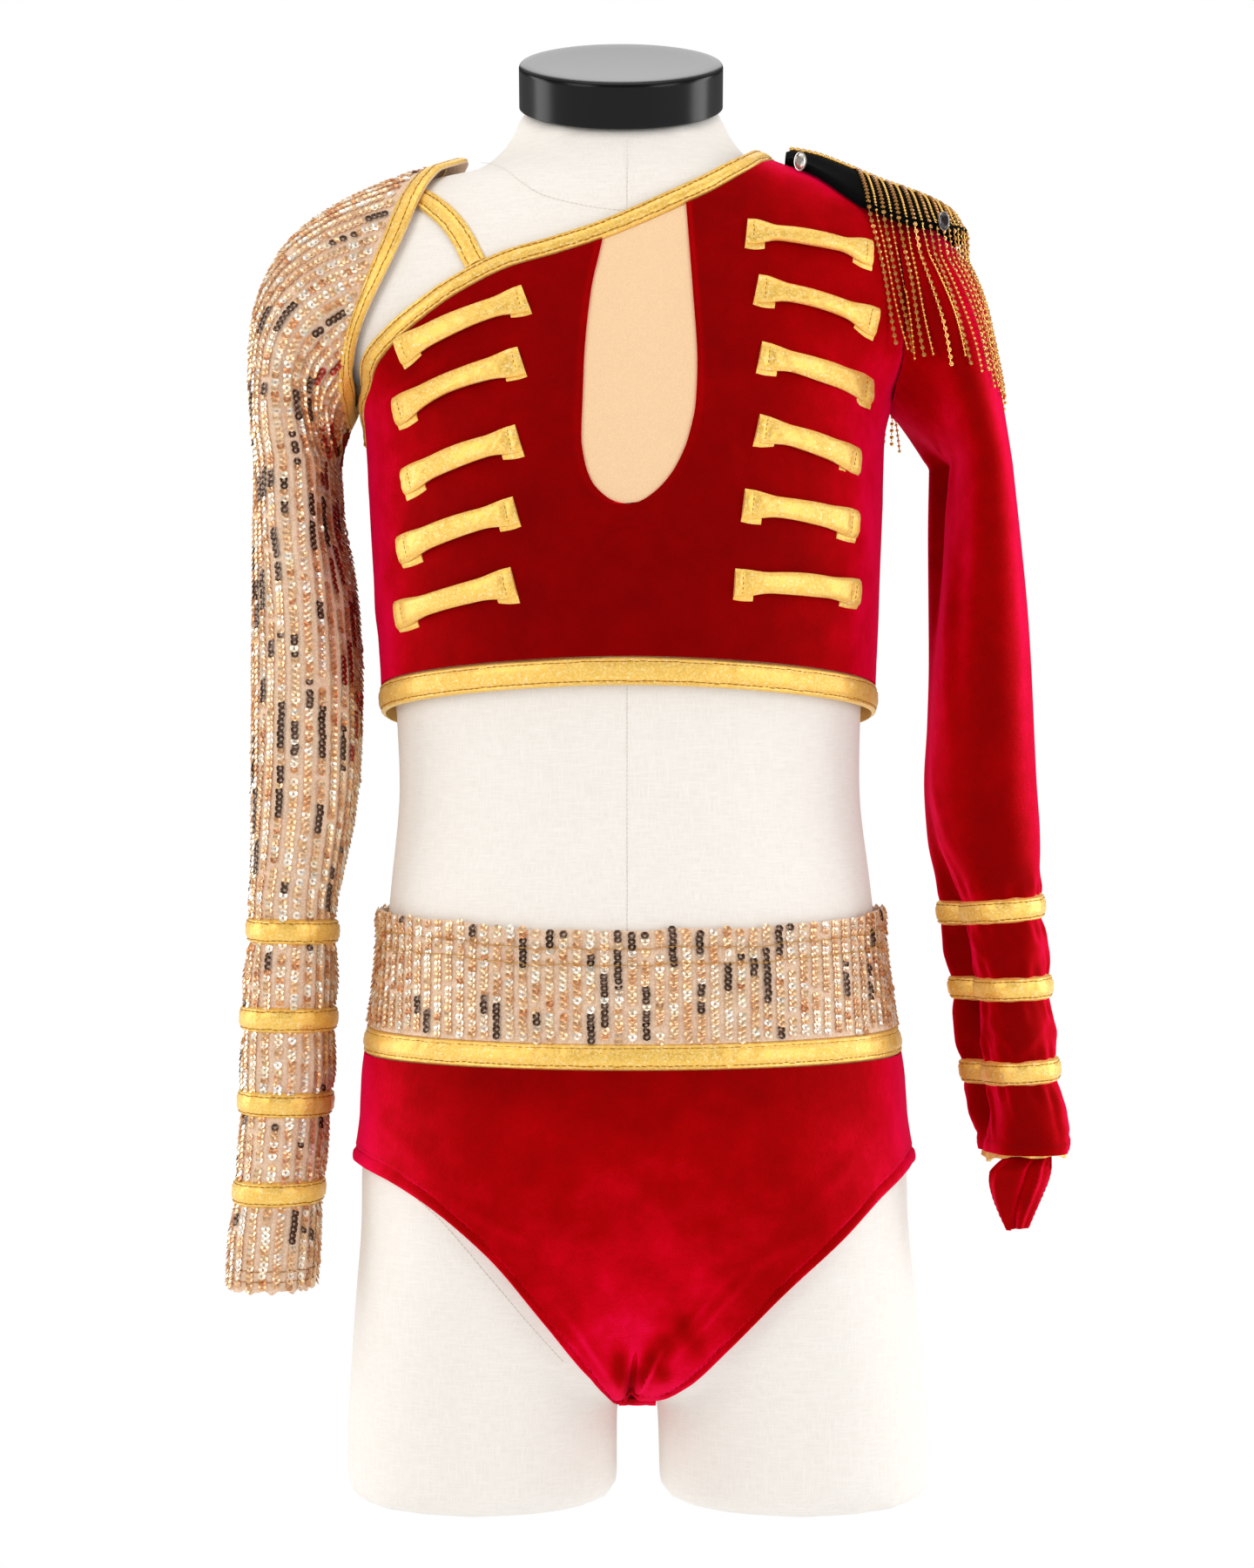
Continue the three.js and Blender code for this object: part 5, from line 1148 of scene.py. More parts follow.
VELVET_SLEEVE_FOLDS = [
    [1.9, 440, 97, 60, 6, -0.9], [1.2, 420, 88, 70, 7, 0.7], [2.5, 455, 118, 24, 4, 0.9],
    [2.75, 470, 128, 18, 3.4, -1.0], [0.6, 380, 92, 60, 7, 0.6], [2.2, 360, 84, 50, 6, 0.8],
    [1.5, 330, 95, 40, 6, -0.7], [2.6, 320, 70, 22, 4, 0.7], [2.3, 255, 40, 14, 3.0, 1.0],
    [1.7, 246, 155, 18, 3.2, 0.9], [1.1, 252, 20, 16, 3.2, 0.8], [0.5, 244, 165, 14, 3, 0.8],
    [2.5, 284, 60, 14, 3, 0.8], [1.9, 282, 130, 16, 3, -0.7], [2.0, 214, 30, 14, 3, 1.0],
    [1.3, 210, 150, 18, 3.2, 0.9], [0.6, 214, 25, 14, 3, 0.7], [2.6, 208, 140, 12, 2.6, 0.8],
    [1.8, 178, 75, 10, 2.8, 0.9], [1.1, 174, 100, 11, 3, -0.8], [2.6, 172, 60, 10, 2.6, 0.9],
    [0.4, 176, 85, 10, 3, 0.8], [4.4, 400, 92, 70, 8, 0.8], [5.2, 300, 88, 60, 7, 0.8],
    [4.0, 250, 30, 16, 3, 0.9], [5.4, 210, 150, 16, 3, 0.9], [4.8, 176, 84, 12, 3, 0.8]]
SEQUIN_SLEEVE_FOLDS = [
    [2.6, 492, 52, 34, 4.4, 1.6], [2.2, 470, 56, 40, 4.2, -1.4], [1.9, 452, 62, 40, 4.6, 1.3],
    [2.75, 455, 68, 26, 4, -1.2], [1.5, 430, 74, 44, 5, -1.1], [2.4, 415, 78, 34, 4.4, 1.1],
    [1.1, 470, 66, 40, 5, 0.9], [2.0, 380, 84, 40, 5, -0.9], [1.4, 350, 92, 44, 6, 0.9],
    [2.5, 340, 100, 30, 5, 0.8], [1.9, 300, 96, 26, 5, -0.8], [1.0, 300, 86, 30, 6, 0.8],
    [4.2, 440, 100, 60, 7, 1.2], [5.2, 380, 88, 60, 7, -1.0], [4.6, 320, 95, 40, 6, 0.9],
    [2.1, 236, 92, 12, 4, 0.9], [1.2, 238, 86, 12, 4, -0.7], [2.2, 196, 88, 12, 4, 0.8],
    [1.3, 198, 95, 12, 4, -0.7], [1.8, 156, 90, 12, 4, 0.7], [1.1, 158, 92, 12, 4, -0.6],
    [2.0, 116, 86, 16, 4, 0.9], [1.2, 112, 96, 16, 4, -0.9], [0.4, 120, 90, 16, 4, 0.8]]
TURNS = np.linspace(0, TURN, 120, endpoint=False)


def tube_face(tube, folds, side):
    """Points and outward normals on a hanging tube by height and turn."""
    def at(z, turn):
        f = lambda h, a: tube_point(tube, h, a, folds) * [side, 1, 1]
        e = 2e-3
        n = np.cross(f(z, turn + e) - f(z, turn - e), f(z + 0.2, turn) - f(z - 0.2, turn))
        n = unit(n) * side
        p = f(z, turn)
        out = np.stack([side * np.cos(turn), -np.sin(turn), 0 * turn], -1) + 0 * n
        return p, n * np.sign(np.sum(n * out, -1, keepdims=True).mean())
    return at


velvet_tube = tube_face(VELVET_TUBE, velvet_folds, 1)
sequin_tube = tube_face(SEQUIN_TUBE, sequin_folds, -1)


def gathers(z, turn, places, high):
    """Small pleats that run into each band from above and below."""
    near = sum(bump(np.abs(z - q), 9, 5) for q in places)
    pleat = (0.6 * np.sin(13 * turn + z / 11) + 0.4 * np.sin(21 * turn - z / 7 + 2)
             + 0.3 * np.sin(7 * turn + 1))
    return high * near * pleat


def velvet_sleeve():
    """The velvet sleeve: its grid, moved out by folds, pleats, puckers at the armhole and a hem."""
    fine = 296  # rows are closer below this height
    heights = np.concatenate([np.arange(TUBE_TOP, fine, -5.0), np.arange(fine, VELVET_END + 0.5, -2.2),
                              [VELVET_END]])
    cap = VELVET_CAP_ROWS
    p, length = sleeve_points(1, rim_of(VELVET_RIM), VELVET_CROWN, VELVET_TUBE, velvet_folds, 2.7, 0, cap,
                              heights)
    n = sleeve_normals(p)
    z = p[..., 2]
    turn = np.broadcast_to(TURNS, z.shape)
    folds = sleeve_creases(z, VELVET_SLEEVE_FOLDS)
    folds += gathers(z, turn, VELVET_BANDS[:, 0], 0.8) * (z < BANDED)
    row = np.arange(len(p))[:, None]
    down = row / cap * length[None]
    ditch = -0.75 * bump(down, 0, 1.6) * (row < cap)
    puckers = 0.22 * np.sin(turn * 40) * bump(down, 3, 3) * (row < cap)
    hem = 0.35 * bump(z, 160, 2.2) - 0.5 * bump(z, 164, 0.9)
    # The cloth hugs each band where it is gathered
    hug = -0.8 * sum(bump(z + k * ARM_HALF * np.cos(turn), q, 5) for q, k in VELVET_BANDS)
    hi = folds + ditch + puckers + hem + hug * (z < BANDED)
    wall("velvet_left_sleeve", "velvet_sleeve", p, np.minimum(folds, 0.6) - VELVET_THICK, hi, VELVET, True, n)
    edge = p[-3] + n[-3] * (hi[-3][:, None])
    return [looped(edge, n[-3])]


red_lines = velvet_sleeve()


def band(name, face, z, slope, width, seed):
    """A gold band round a sleeve, its height falling by the slope across it."""
    turn = np.linspace(0, TURN, 150, endpoint=False)
    line = face(z - slope * ARM_HALF * np.cos(turn), turn)
    stitch = binding(name + "_gold", name, line, width, closed=True, rows=11, lo=-0.9, pucker=0.26, seed=seed)
    return [looped(*line) for line in stitch]


for cloth_name, face, bands, width, seed in (("velvet", velvet_tube, VELVET_BANDS, 11.5, 20),
                                             ("sequin", sequin_tube, SEQUIN_BANDS, 12, 30)):
    for k, (z, slope) in enumerate(bands, 1):
        gold_lines += band(f"{cloth_name}_band_{k}", face, z, slope, width, seed + k)


def cuff():
    """Gold binding folded up inside the cuff; it shows a little below the hem, most at the two sides."""
    turn = np.linspace(0, TURN, 160, endpoint=False)
    show = (0.8 + 3.6 * bump(turn, 3.0, 0.55) + 2.4 * bump(np.mod(turn + 1, TURN), 1.05, 0.4)
            + 0.5 * np.sin(9 * turn))
    v = np.linspace(0, 1, 9)[:, None]
    z = mix(VELVET_END - show, 168.0, v)
    p, n = velvet_tube(np.maximum(z, VELVET_END + 0.01), np.broadcast_to(turn, z.shape))
    p[..., 2] = z
    ripple = 0.35 * np.sin(23 * turn)[None] * (1 - v) + 0.5 * bump(z, VELVET_END - show, 2)
    wall("cuff_gold", "cuff_binding", p, -3.1 + ripple * 0.4, -1.9 + ripple, FOIL, wrap=True, n=n)


cuff()
HAND = curves("centre half front spread", [[152, 179, 14.6, 24, 75], [145, 178.6, 13.4, 21, 95],
                                          [137, 178.4, 11, 17, 110], [129, 178.5, 8, 13, 120],
                                          [122, 178.8, 5, 9.5, 125]])


def hand_point():
    """A half tube that narrows to the hand, by u across it and height, with one deep fold; from the cuff
    up it takes the sleeve's own shape, a little inside it."""
    u = np.linspace(0, 1, 60)[None]
    z = np.concatenate([np.linspace(165, 152, 9), np.linspace(150.5, 122, 34)])[:, None]
    at = np.minimum(z, 152)
    turn = np.radians(90 + (u - 0.5) * 2 * HAND["spread"](at))
    drop = np.where(u > 0.5, 3 * (u - 0.5), 0)
    half, front, centre = HAND["half"](at), HAND["front"](at), HAND["centre"](at)
    p = np.stack(np.broadcast_arrays(centre + half * np.cos(turn),
                                     -front + half * 0.62 * (1 - np.sin(turn)), z - drop), -1)
    n = np.stack(np.broadcast_arrays(np.cos(turn), -np.sin(turn), 0 * turn), -1)
    q, m = velvet_tube(np.maximum(z, VELVET_END + 0.01) + 0 * u, np.radians(90 + (u - 0.5) * 84) + 0 * z)
    q = q - m * 7.5
    q[..., 2] = z
    share = smooth(150, 160, z)[..., None]
    p, n = mix(p, q, share), unit(mix(n, m, share))
    edge = np.minimum(u, 1 - u)
    rib = 0.22 * np.sin((z - 14 * u) * 2.4) * (1 - smooth(0.36, 0.42, u)) * smooth(0.02, 0.08, u)
    rib = rib + 0.45 * bump(edge, 0.05, 0.03)
    fold_at = 0.47 - (z - 137) * 0.006
    fold = 1.8 * bump(u, fold_at - 0.07, 0.06) - 2.6 * bump(u, fold_at + 0.03, 0.045)
    fold = fold * smooth(160, 150, z) + 0.8 * bump(u, 0.78, 0.05) * smooth(158, 148, z)
    wall("velvet_hand_point", "hand_point", p, fold - VELVET_THICK, fold + rib, VELVET, n=n)
    hi = fold + rib + 0.1
    return [(p[:, k] + n[:, k] * hi[:, k : k + 1], n[:, k]) for k in (4, 55)]


red_lines += hand_point()


# Sequins
def washer(sides, hole, rim, cup):
    """A sequin: a closed ring of three-sided section, a little cupped."""
    a = np.arange(sides) * TURN / sides
    loop = [(hole, 0.0), (rim, cup), (rim * 0.62, -0.16)]
    verts = np.concatenate([np.stack([r * np.cos(a), r * np.sin(a), 0 * a + h], -1) for r, h in loop])
    faces = []
    for k in range(3):
        for i in range(sides):
            j = (i + 1) % sides
            m = (k + 1) % 3
            faces.append([k * sides + i, k * sides + j, m * sides + j, m * sides + i])
    return verts, np.array(faces)


WASHER = washer(7, hole=0.66, rim=1.9, cup=0.5)
# Painted reflections in the sequins' colour: a dark tint for the room's dark parts and a red one for the red
# velvet near them
DARK_REFLECTION_TINT, RED_REFLECTION_TINT = rgb("#4E3526"), rgb("#A83024")
# The sequins' own champagne foil, its spread of tints painting the reflections each one catches; the nearly
# white one is a painted glint
SEQUIN_TINTS = np.array([rgb(c) for c in ("#F6D2A6", "#EEC08E", "#FFE9CC", "#E0A874", "#FFF8EA", "#D08A54")])
TINT_SHARE = [0.28, 0.2, 0.2, 0.1, 0.17, 0.05]


def grid_lines(p, n, spacing, front):
    """Lines up a closed grid, evenly spaced along each of its rows from column front, both ways."""
    rows, cols = p.shape[:2]
    start = (front + cols // 2) % cols
    p, n = np.roll(p, -start, 1), np.roll(n, -start, 1)
    p, n = (np.concatenate([g, g[:, :1]], 1) for g in (p, n))
    arcs = np.concatenate([np.zeros((rows, 1)), np.cumsum(np.linalg.norm(np.diff(p, axis=1), axis=-1), 1)], 1)
    middle = arcs[:, (front - start) % cols]
    lines = []
    reach = int(arcs[:, -1].max() / spacing / 2) + 2
    for k in range(-reach, reach + 1):
        at = middle + k * spacing
        inside = (at > 1.5) & (at < arcs[:, -1] - 1.5)
        runs = np.split(np.arange(rows), np.where(np.diff(inside.astype(int)) != 0)[0] + 1)
        for run in runs:
            if not inside[run[0]] or len(run) < 2:
                continue
            q, m = (np.array([between(at[j], arcs[j], g[j]) for j in run]) for g in (p, n))
            lines.append((q, unit(m)))
    return lines


def sew_sequins(name, lines, dark_reflection_share, red_reflection_share, skip=None, tilt=0.3, seed=11, count=1):
    """Sequins along each line, in count pieces: how much dark and red reflection is painted at a place
    decides how often its sequins are tinted dark or red, and none is sewn where skip is true."""
    pitch, lift = 2.6, 0.6
    g = np.random.default_rng(seed)
    where, axes, dark, red = [], [], [], []
    for p, n in lines:
        a = arc(p)
        s = np.arange(g.uniform(0.2, pitch), a[-1] - 1, pitch)
        s = s + g.normal(0, 0.16, len(s))
        keep = g.random(len(s)) > 0.03
        s = np.sort(np.clip(s[keep], 0, a[-1]))
        q = along(p, s)
        m = unit(between(s, a, n))
        t = heading(p, s, 1.5)
        side = unit(np.cross(m, t))
        # Each sequin leans on the one below it, and a few lie their own way
        loose = g.random((len(s), 1)) < 0.1
        up = tilt + g.normal(0, 0.05, (len(s), 1)) + loose * g.normal(0, 0.3, (len(s), 1))
        yaw = g.normal(0, 0.05, (len(s), 1)) + loose * g.normal(0, 0.32, (len(s), 1))
        z = unit(m - t * np.tan(up) + side * np.tan(yaw))
        x = unit(t - z * np.sum(t * z, -1, keepdims=True))
        f = np.stack([x, np.cross(z, x), z], 1)
        q = q + m * (lift + g.normal(0, 0.05, (len(s), 1))) + side * g.normal(0, 0.18, (len(s), 1))
        where.append(q)
        axes.append(f)
        # Runs of sequins tinted dark, a painted reflection of the room's dark parts
        wave = np.sin(s / g.uniform(9, 17) + g.uniform(0, TURN))
        wave = wave + np.sin(s / g.uniform(5, 9) + g.uniform(0, TURN))
        dark.append((wave > g.choice([0.9, 1.4, 1.9, 2.1]) - dark_reflection_share(q)) & (g.random(len(s)) > 0.12))
        # Sequins tinted red, a painted reflection of the red velvet near them
        red.append(red_reflection_share(q) * (1 + np.sin(s / 7 + g.uniform(0, TURN))) > g.uniform(0.8, 1.9))
    where, axes, dark, red = (np.concatenate(part) for part in (where, axes, dark, red))
    if skip is not None:
        keep = ~skip(where)
        where, axes, dark, red = where[keep], axes[keep], dark[keep], red[keep]
    tint = SEQUIN_TINTS[g.choice(len(SEQUIN_TINTS), len(where), p=TINT_SHARE)]
    tint = np.where(dark[:, None], DARK_REFLECTION_TINT, tint)
    tint = np.where(red[:, None], RED_REFLECTION_TINT, tint)
    tint = np.clip(tint * g.normal(1, 0.07, (len(where), 1)), 0, 1)
    tint[:, 3] = 1
    order = np.argsort(-where[:, 2], kind="stable")
    for i, part in enumerate(np.array_split(order, count)):
        scatter(f"{name}_{i + 1}" if count > 1 else name, WASHER, where[part], axes[part], SEQUIN,
                tint=tint[part], sharp=50)


RIM_TRIM = 11


def sequin_sleeve():
    """The sequin sleeve: ground cloth, sequins in lines down it, and the gold rim of its armhole. Gives
    back the stitches of the rim and of the cuff."""
    heights = np.concatenate([np.arange(TUBE_TOP, SEQUIN_END + 0.5, -6.0), [SEQUIN_END]])
    cap = SEQUIN_CAP_ROWS
    p, length = sleeve_points(-1, rim_of(SEQUIN_RIM), SEQUIN_CROWN, SEQUIN_TUBE, sequin_folds, 4.2, 7, cap,
                              heights)
    n = sleeve_normals(p)
    z = p[..., 2]
    turn = np.broadcast_to(TURNS, z.shape)
    folds = sleeve_creases(z, SEQUIN_SLEEVE_FOLDS)
    down = np.arange(len(p))[:, None] / cap * length[None]
    folds *= smooth(10, 40, down)
    hug = -0.9 * sum(bump(z, q, 5) for q in SEQUIN_BANDS[:, 0]) * (z < BANDED)
    fray = 0.8 * np.sin(turn * 17) + 0.5 * np.sin(turn * 31 + 1)
    # The cloth lies low under the rim's own binding
    hi = np.where(down < RIM_TRIM - 1.5, -0.9, folds + hug)
    base = p.copy()
    base[-1, :, 2] += fray[-1]
    wall("sequin_right_sleeve", "sequin_sleeve", base, hi - 1.1, hi - 0.35, TULLE, True, n)
    lines = grid_lines(p + n * (hi - 0.35)[..., None], n, 6.1, len(TURNS) // 4)
    covered = lambda q: np.any([np.abs(q[:, 2] - h) < 5.6 for h in SEQUIN_BANDS[:, 0]], 0)
    cut = []
    for q, m in lines:
        if q[0, 2] > 480:
            keep = arc(q) > RIM_TRIM + 0.8
            q, m = q[keep], m[keep]
        if len(q) > 1:
            cut.append((q, m))
    # Painted reflections: runs of sequins are tinted dark here, reflecting the room, and red on the inner
    # side, reflecting the velvet
    dark_reflection_share = lambda q: 1.2 * bump(q[:, 0], -154, 16) * smooth(250, 330, q[:, 2]) * smooth(560, 480, q[:, 2])
    inner = lambda q: (0.9 * smooth(-150, -132, q[:, 0]) * smooth(300, 360, q[:, 2])
                       * smooth(560, 520, q[:, 2]))
    sew_sequins("sleeve_sequins", cut, dark_reflection_share, inner, skip=covered, count=3, seed=12)
    rows = []
    for h in (104.5, 99.8):
        j = int(np.argmin(np.abs(heights - h))) + cap
        q = p[j] + n[j] * (hi[j][:, None] + 0.2)
        q[:, 2] += h - p[j, :, 2]
        rows.append(looped(q, n[j]))
    # The rim: one strip of gold round the armhole, folded over its edge
    count = 9
    t = np.linspace(0, 1, count)[:, None] * RIM_TRIM / length[None] * cap
    strip = np.stack([between(t[:, k], np.arange(len(p)), p[:, k]) for k in range(len(TURNS))], 1)
    m = sleeve_normals(strip)
    v = np.linspace(-1, 1, count)[:, None]
    g = np.random.default_rng(5)
    s = arc(strip[0])[None]
    wave = sum(g.uniform(0.4, 1) * np.sin(TURN * s / w + v * 1.2 + g.uniform(0, 6)) for w in (3.9, 6.1, 11.0))
    dents = bump(v, -0.6, 0.16) + bump(v, 0.6, 0.16)
    face = -0.2 + 1.3 * (1 - np.abs(v) ** 5) ** 0.5 + 0.12 * wave - 0.45 * dents
    wall("sleeve_rim_gold", "sleeve_rim_binding", strip, -1.6, face, FOIL, wrap=True, n=m)
    return [looped(strip[r] + m[r] * face[r][:, None], m[r]) for r in (2, 6)] + rows


gold_lines += sequin_sleeve()


# Briefs
HIP_HALF = 122  # half the width of the hips
belt_low = lambda a: 202.8 - 2 * np.sin(a)
belt_high = lambda a: belt_low(a) + 12 - 1.2 * np.sin(a)
waist_top = lambda a: 268 - 7 * np.maximum(np.sin(a), 0) ** 1.3 + 2 * np.maximum(-np.sin(a), 0)
LEG_LINE = curves("left right back", [[0, 54, 54, 55], [9, 54, 54, 55], [22, 67, 61, 58], [40, 90, 78, 66],
                                      [65, 120, 103, 86], [91, 141, 126, 112], [108, 149.5, 142, 130],
                                      [118, 152.4, 149, 140], [125, 154, 154, 154]])


def leg_edge(front):
    """The edge of the legs as height by angle, from the table's heights by distance from the middle."""
    x = np.arange(0, 125, 2.0)
    rows = []
    for side in (1, -1):
        z = LEG_LINE["back" if not front else ("right" if side > 0 else "left")](x)
        turn = 1 if front else -1
        half = hip_radius(turn * (0.0 if side > 0 else math.pi), z)
        a = angle_at(hip_radius, side * x, z, front)
        keep = half > x
        rows += list(zip(a[keep], z[keep]))
    rows += [(0.0 if front else TURN, 154), (math.pi, 154)]
    rows = sorted(rows)
    kept = [rows[0]]
    for r in rows[1:]:
        if r[0] - kept[-1][0] > 0.006:
            kept.append(r)
    a, z = np.array(kept).T
    return curve(a, z)


BRIEFS_FOLDS = [
    [2.8, 66, 84, 12, 1.8, -3.6], [-3, 64, 80, 10, 2.4, 1.8], [8, 66, 72, 12, 2.4, 2.4],
    [13, 70, 60, 20, 1.7, -2.2], [18, 78, 54, 24, 2.0, 1.8], [24, 84, 48, 24, 1.7, -1.6],
    [33, 92, 46, 26, 2.2, 1.2], [-12, 74, 122, 16, 2, 1.0], [-22, 84, 126, 18, 2, -0.6],
    [4, 96, 84, 24, 3, -0.6], [-5, 100, 96, 26, 3.4, 0.5], [18, 104, 66, 24, 3.2, -0.5],
    [60, 120, 24, 22, 3, 0.6], [-60, 136, 156, 22, 3, 0.6], [96, 158, 40, 20, 4, 0.7],
    [-98, 166, 146, 18, 4, 0.7], [0, 150, 2, 60, 7, 0.4], [40, 170, 8, 40, 6, -0.4],
    [-46, 174, -8, 40, 6, 0.4]]
BRIEFS_BACK_FOLDS = [[0, 110, 88, 40, 3, -1.2], [-30, 120, 120, 30, 4, 0.7], [32, 118, 60, 30, 4, 0.7],
                     [70, 130, 30, 24, 4, 0.7], [-72, 132, 150, 24, 4, 0.7]]


def briefs(front):
    """Front or back of the briefs, from the legs' edge to the belt. Gives back its two rows of stitches."""
    edge = leg_edge(front)
    turn = HALF_SEAM / HIP_HALF
    a0, a1 = (turn, math.pi - turn) if front else (math.pi + turn, TURN - turn)
    u = np.linspace(0, 1, 150)
    u = u - 0.055 * np.sin(2 * TURN * u) / 2
    v = np.concatenate([np.linspace(0, 0.06, 7)[:-1], np.linspace(0.06, 1, 46)])[:, None] ** 1.15
    a = np.broadcast_to(mix(a0, a1, u), (len(v), len(u)))
    low = edge(a)
    if front:
        x = lean(low) + hip_radius(a, low) * np.cos(a)
        low = low - 3.4 * bump(x, -4.2, 3.6) + 2.6 * bump(x, 2.2, 1.8) - 0.8 * bump(x, 11, 3)
    z = mix(low, belt_low(a) - 0.3, v)
    p = place(hip_radius, a, z)
    n = outward(p)
    folds = creases(p, BRIEFS_FOLDS if front else BRIEFS_BACK_FOLDS)
    from_edge = np.linalg.norm(p - p[:1], axis=-1)
    # The leg is turned in and stitched twice, so its edge is thick with a channel above it
    hem = (0.75 * bump(from_edge, 1.6, 2.2) - 0.55 * bump(from_edge, 5.2, 1.0)
           + 0.3 * bump(from_edge, 3.6, 0.7))
    ripple = 0.18 * np.sin(arc(p[0])[None] * 1.3) * bump(from_edge, 4, 3)
    # The angle from the side seam, times the hip's radius there, is the distance from it
    seam = -0.5 * bump(np.minimum(a - a0, a1 - a) * 120, 0, 1.3)
    hi = VELVET_THICK + folds + hem + ripple + seam
    name = "front" if front else "back"
    wall(f"velvet_briefs_{name}", f"briefs_{name}", p, np.clip(folds, -0.5, 1.2) * 0.7, hi, VELVET, n=n)
    lines = []
    for d in (5.0, 7.2):
        q = across_grid(d, from_edge, p + n * hi[..., None])
        lines.append((q, unit(across_grid(d, from_edge, n))))
    return lines


red_lines += briefs(True) + briefs(False)


def gusset():
    """A strip under the crotch, from the foot of the front to that of the back."""
    f, fn = surface_line(hip_radius, np.array([math.pi / 2]), np.array([54.0]))
    b, bn = surface_line(hip_radius, np.array([-math.pi / 2]), np.array([55.0]))
    f, b = (f + fn * 0.75)[0], (b + bn * 0.75)[0]
    x = lean(50)
    line = np.array([[x, f[1] + 1.4, 53], [x, f[1] + 4, 50.2], [x, f[1] + 13, 48.9], [x, 0, 48.6],
                     [x, b[1] - 13, 48.9], [x, b[1] - 4, 50.4], [x, b[1] - 1.4, 54]])
    line = even(spline(line), 90)
    d = unit(np.gradient(line, axis=0))
    n = np.stack([0 * d[:, 0], d[:, 2], -d[:, 1]], -1)
    half = mix(7.4, 8.4, np.abs(np.linspace(-1, 1, 90)) ** 3)
    v = np.linspace(-1, 1, 13)[:, None]
    p = line[None] + np.stack([v * half, 0 * v * half, 0 * v * half], -1)
    m = np.broadcast_to(n[None], p.shape)
    sink = 0.5 * bump(np.abs(v), 0.45, 0.12) + 0 * half
    wall("velvet_gusset", "gusset", p, -VELVET_THICK / 2, VELVET_THICK / 2 - sink * 0.6, VELVET, n=m)


gusset()
belt_line = surface_line(hip_radius, angle, (belt_low(angle) + belt_high(angle)) / 2)
gold_lines += binding("belt_gold", "belt_binding", belt_line, 12.0, closed=True, thick=2.5, pucker=0.26,
                      inset=2.2, seed=14)


def waistband():
    """Ground cloth and sequins above the belt, with two stitched channels. Gives back their stitches."""
    cols = 200
    a = np.linspace(0, TURN, cols, endpoint=False)
    v = np.linspace(0, 1, 26)[:, None]
    wave = 0.5 * np.sin(5 * a + 1) + 0.35 * np.sin(11 * a) + 0.25 * np.sin(23 * a + 2)
    low, high = belt_high(a) + 0.3, waist_top(a) + wave
    z = mix(low, high, v)
    p = place(hip_radius, np.broadcast_to(a, z.shape), z)
    n = outward(p, True)
    d = high - z
    channels = 8, 15  # how far they are below the top
    channel = -0.5 * sum(bump(d, depth, 0.9) for depth in channels)
    ripple = 0.4 * np.sin(31 * a) * bump(d, 10, 7) + 0.25 * np.sin(53 * a + 1) * bump(d, 4, 5)
    hi = 1.0 + channel + ripple + 0.5 * bump(d, 4, 4)
    wall("sequin_waistband", "waistband", p, 0.0, hi, TULLE, True, n)
    base = p + n * hi[..., None]
    lines = grid_lines(base[::-1], n[::-1], 6.0, cols // 4)
    # More sequins are tinted dark at the front middle, a painted reflection of the room
    dark_reflection_share = lambda q: 1.4 * bump(q[:, 0], 0, 46) * (q[:, 1] < 0)
    sew_sequins("waistband_sequins", lines, dark_reflection_share, lambda q: 0 * q[:, 0], seed=21, tilt=0.32)
    out = []
    for depth in channels:
        q, m = across_grid(-depth, -d, base), across_grid(-depth, -d, n)
        out.append(looped(q + m * 0.8, unit(m)))
    return out


waist_lines = waistband()


# The board on the shoulder, its chains and its stones
ABOVE, BEYOND = 700, 260  # where rays start that come down or in
BOARD = [[73, 613, 24, 9], [86, 610.5, 32, 16], [100, 605.3, 37, 19.5], [116, 598.5, 39, 19.5],
         [130, 593.5, 38, 19], [142, 588.5, 31, 14.5], [150, 583, 20, 8.5], [153.5, 578, 9, 3]]
BOARD_ENDS = BOARD[0][0], BOARD[-1][0]
board = curves("z reach drop", BOARD)


def tree_of(*names):
    """Pieces already made, as one tree for rays."""
    verts, faces = join([shapes[name] if shapes[name][1].shape[1] == 4 else
                         (shapes[name][0], np.concatenate([shapes[name][1], shapes[name][1][:, :1]], 1))
                         for name in names])
    return BVHTree.FromPolygons([Vector(v) for v in verts], [tuple(dict.fromkeys(f)) for f in faces.tolist()])


def reach_to(tree, start, way):
    """How far a ray goes before it meets the tree."""
    hit = tree.ray_cast(Vector(start), Vector(way))
    return hit[3] if hit[0] is not None else math.inf


cloth = tree_of("velvet_top_front", "velvet_top_back", "velvet_left_sleeve", "neck_binding_front_gold",
                "neck_binding_back_gold")


def drop_to(tree, x, y):
    """The height at which a ray from above meets the tree."""
    return ABOVE - reach_to(tree, (x, y, ABOVE), (0, 0, -1))


def board_point(x, share):
    """A point of the board's underside: its own bent section, or just above the cloth if that is higher."""
    y = share * float(board["reach"](x))
    z = float(board["z"](x)) - float(board["drop"](x)) * abs(share) ** 1.7
    return np.array([x, y, max(z, drop_to(cloth, x, y) + 1.6)])


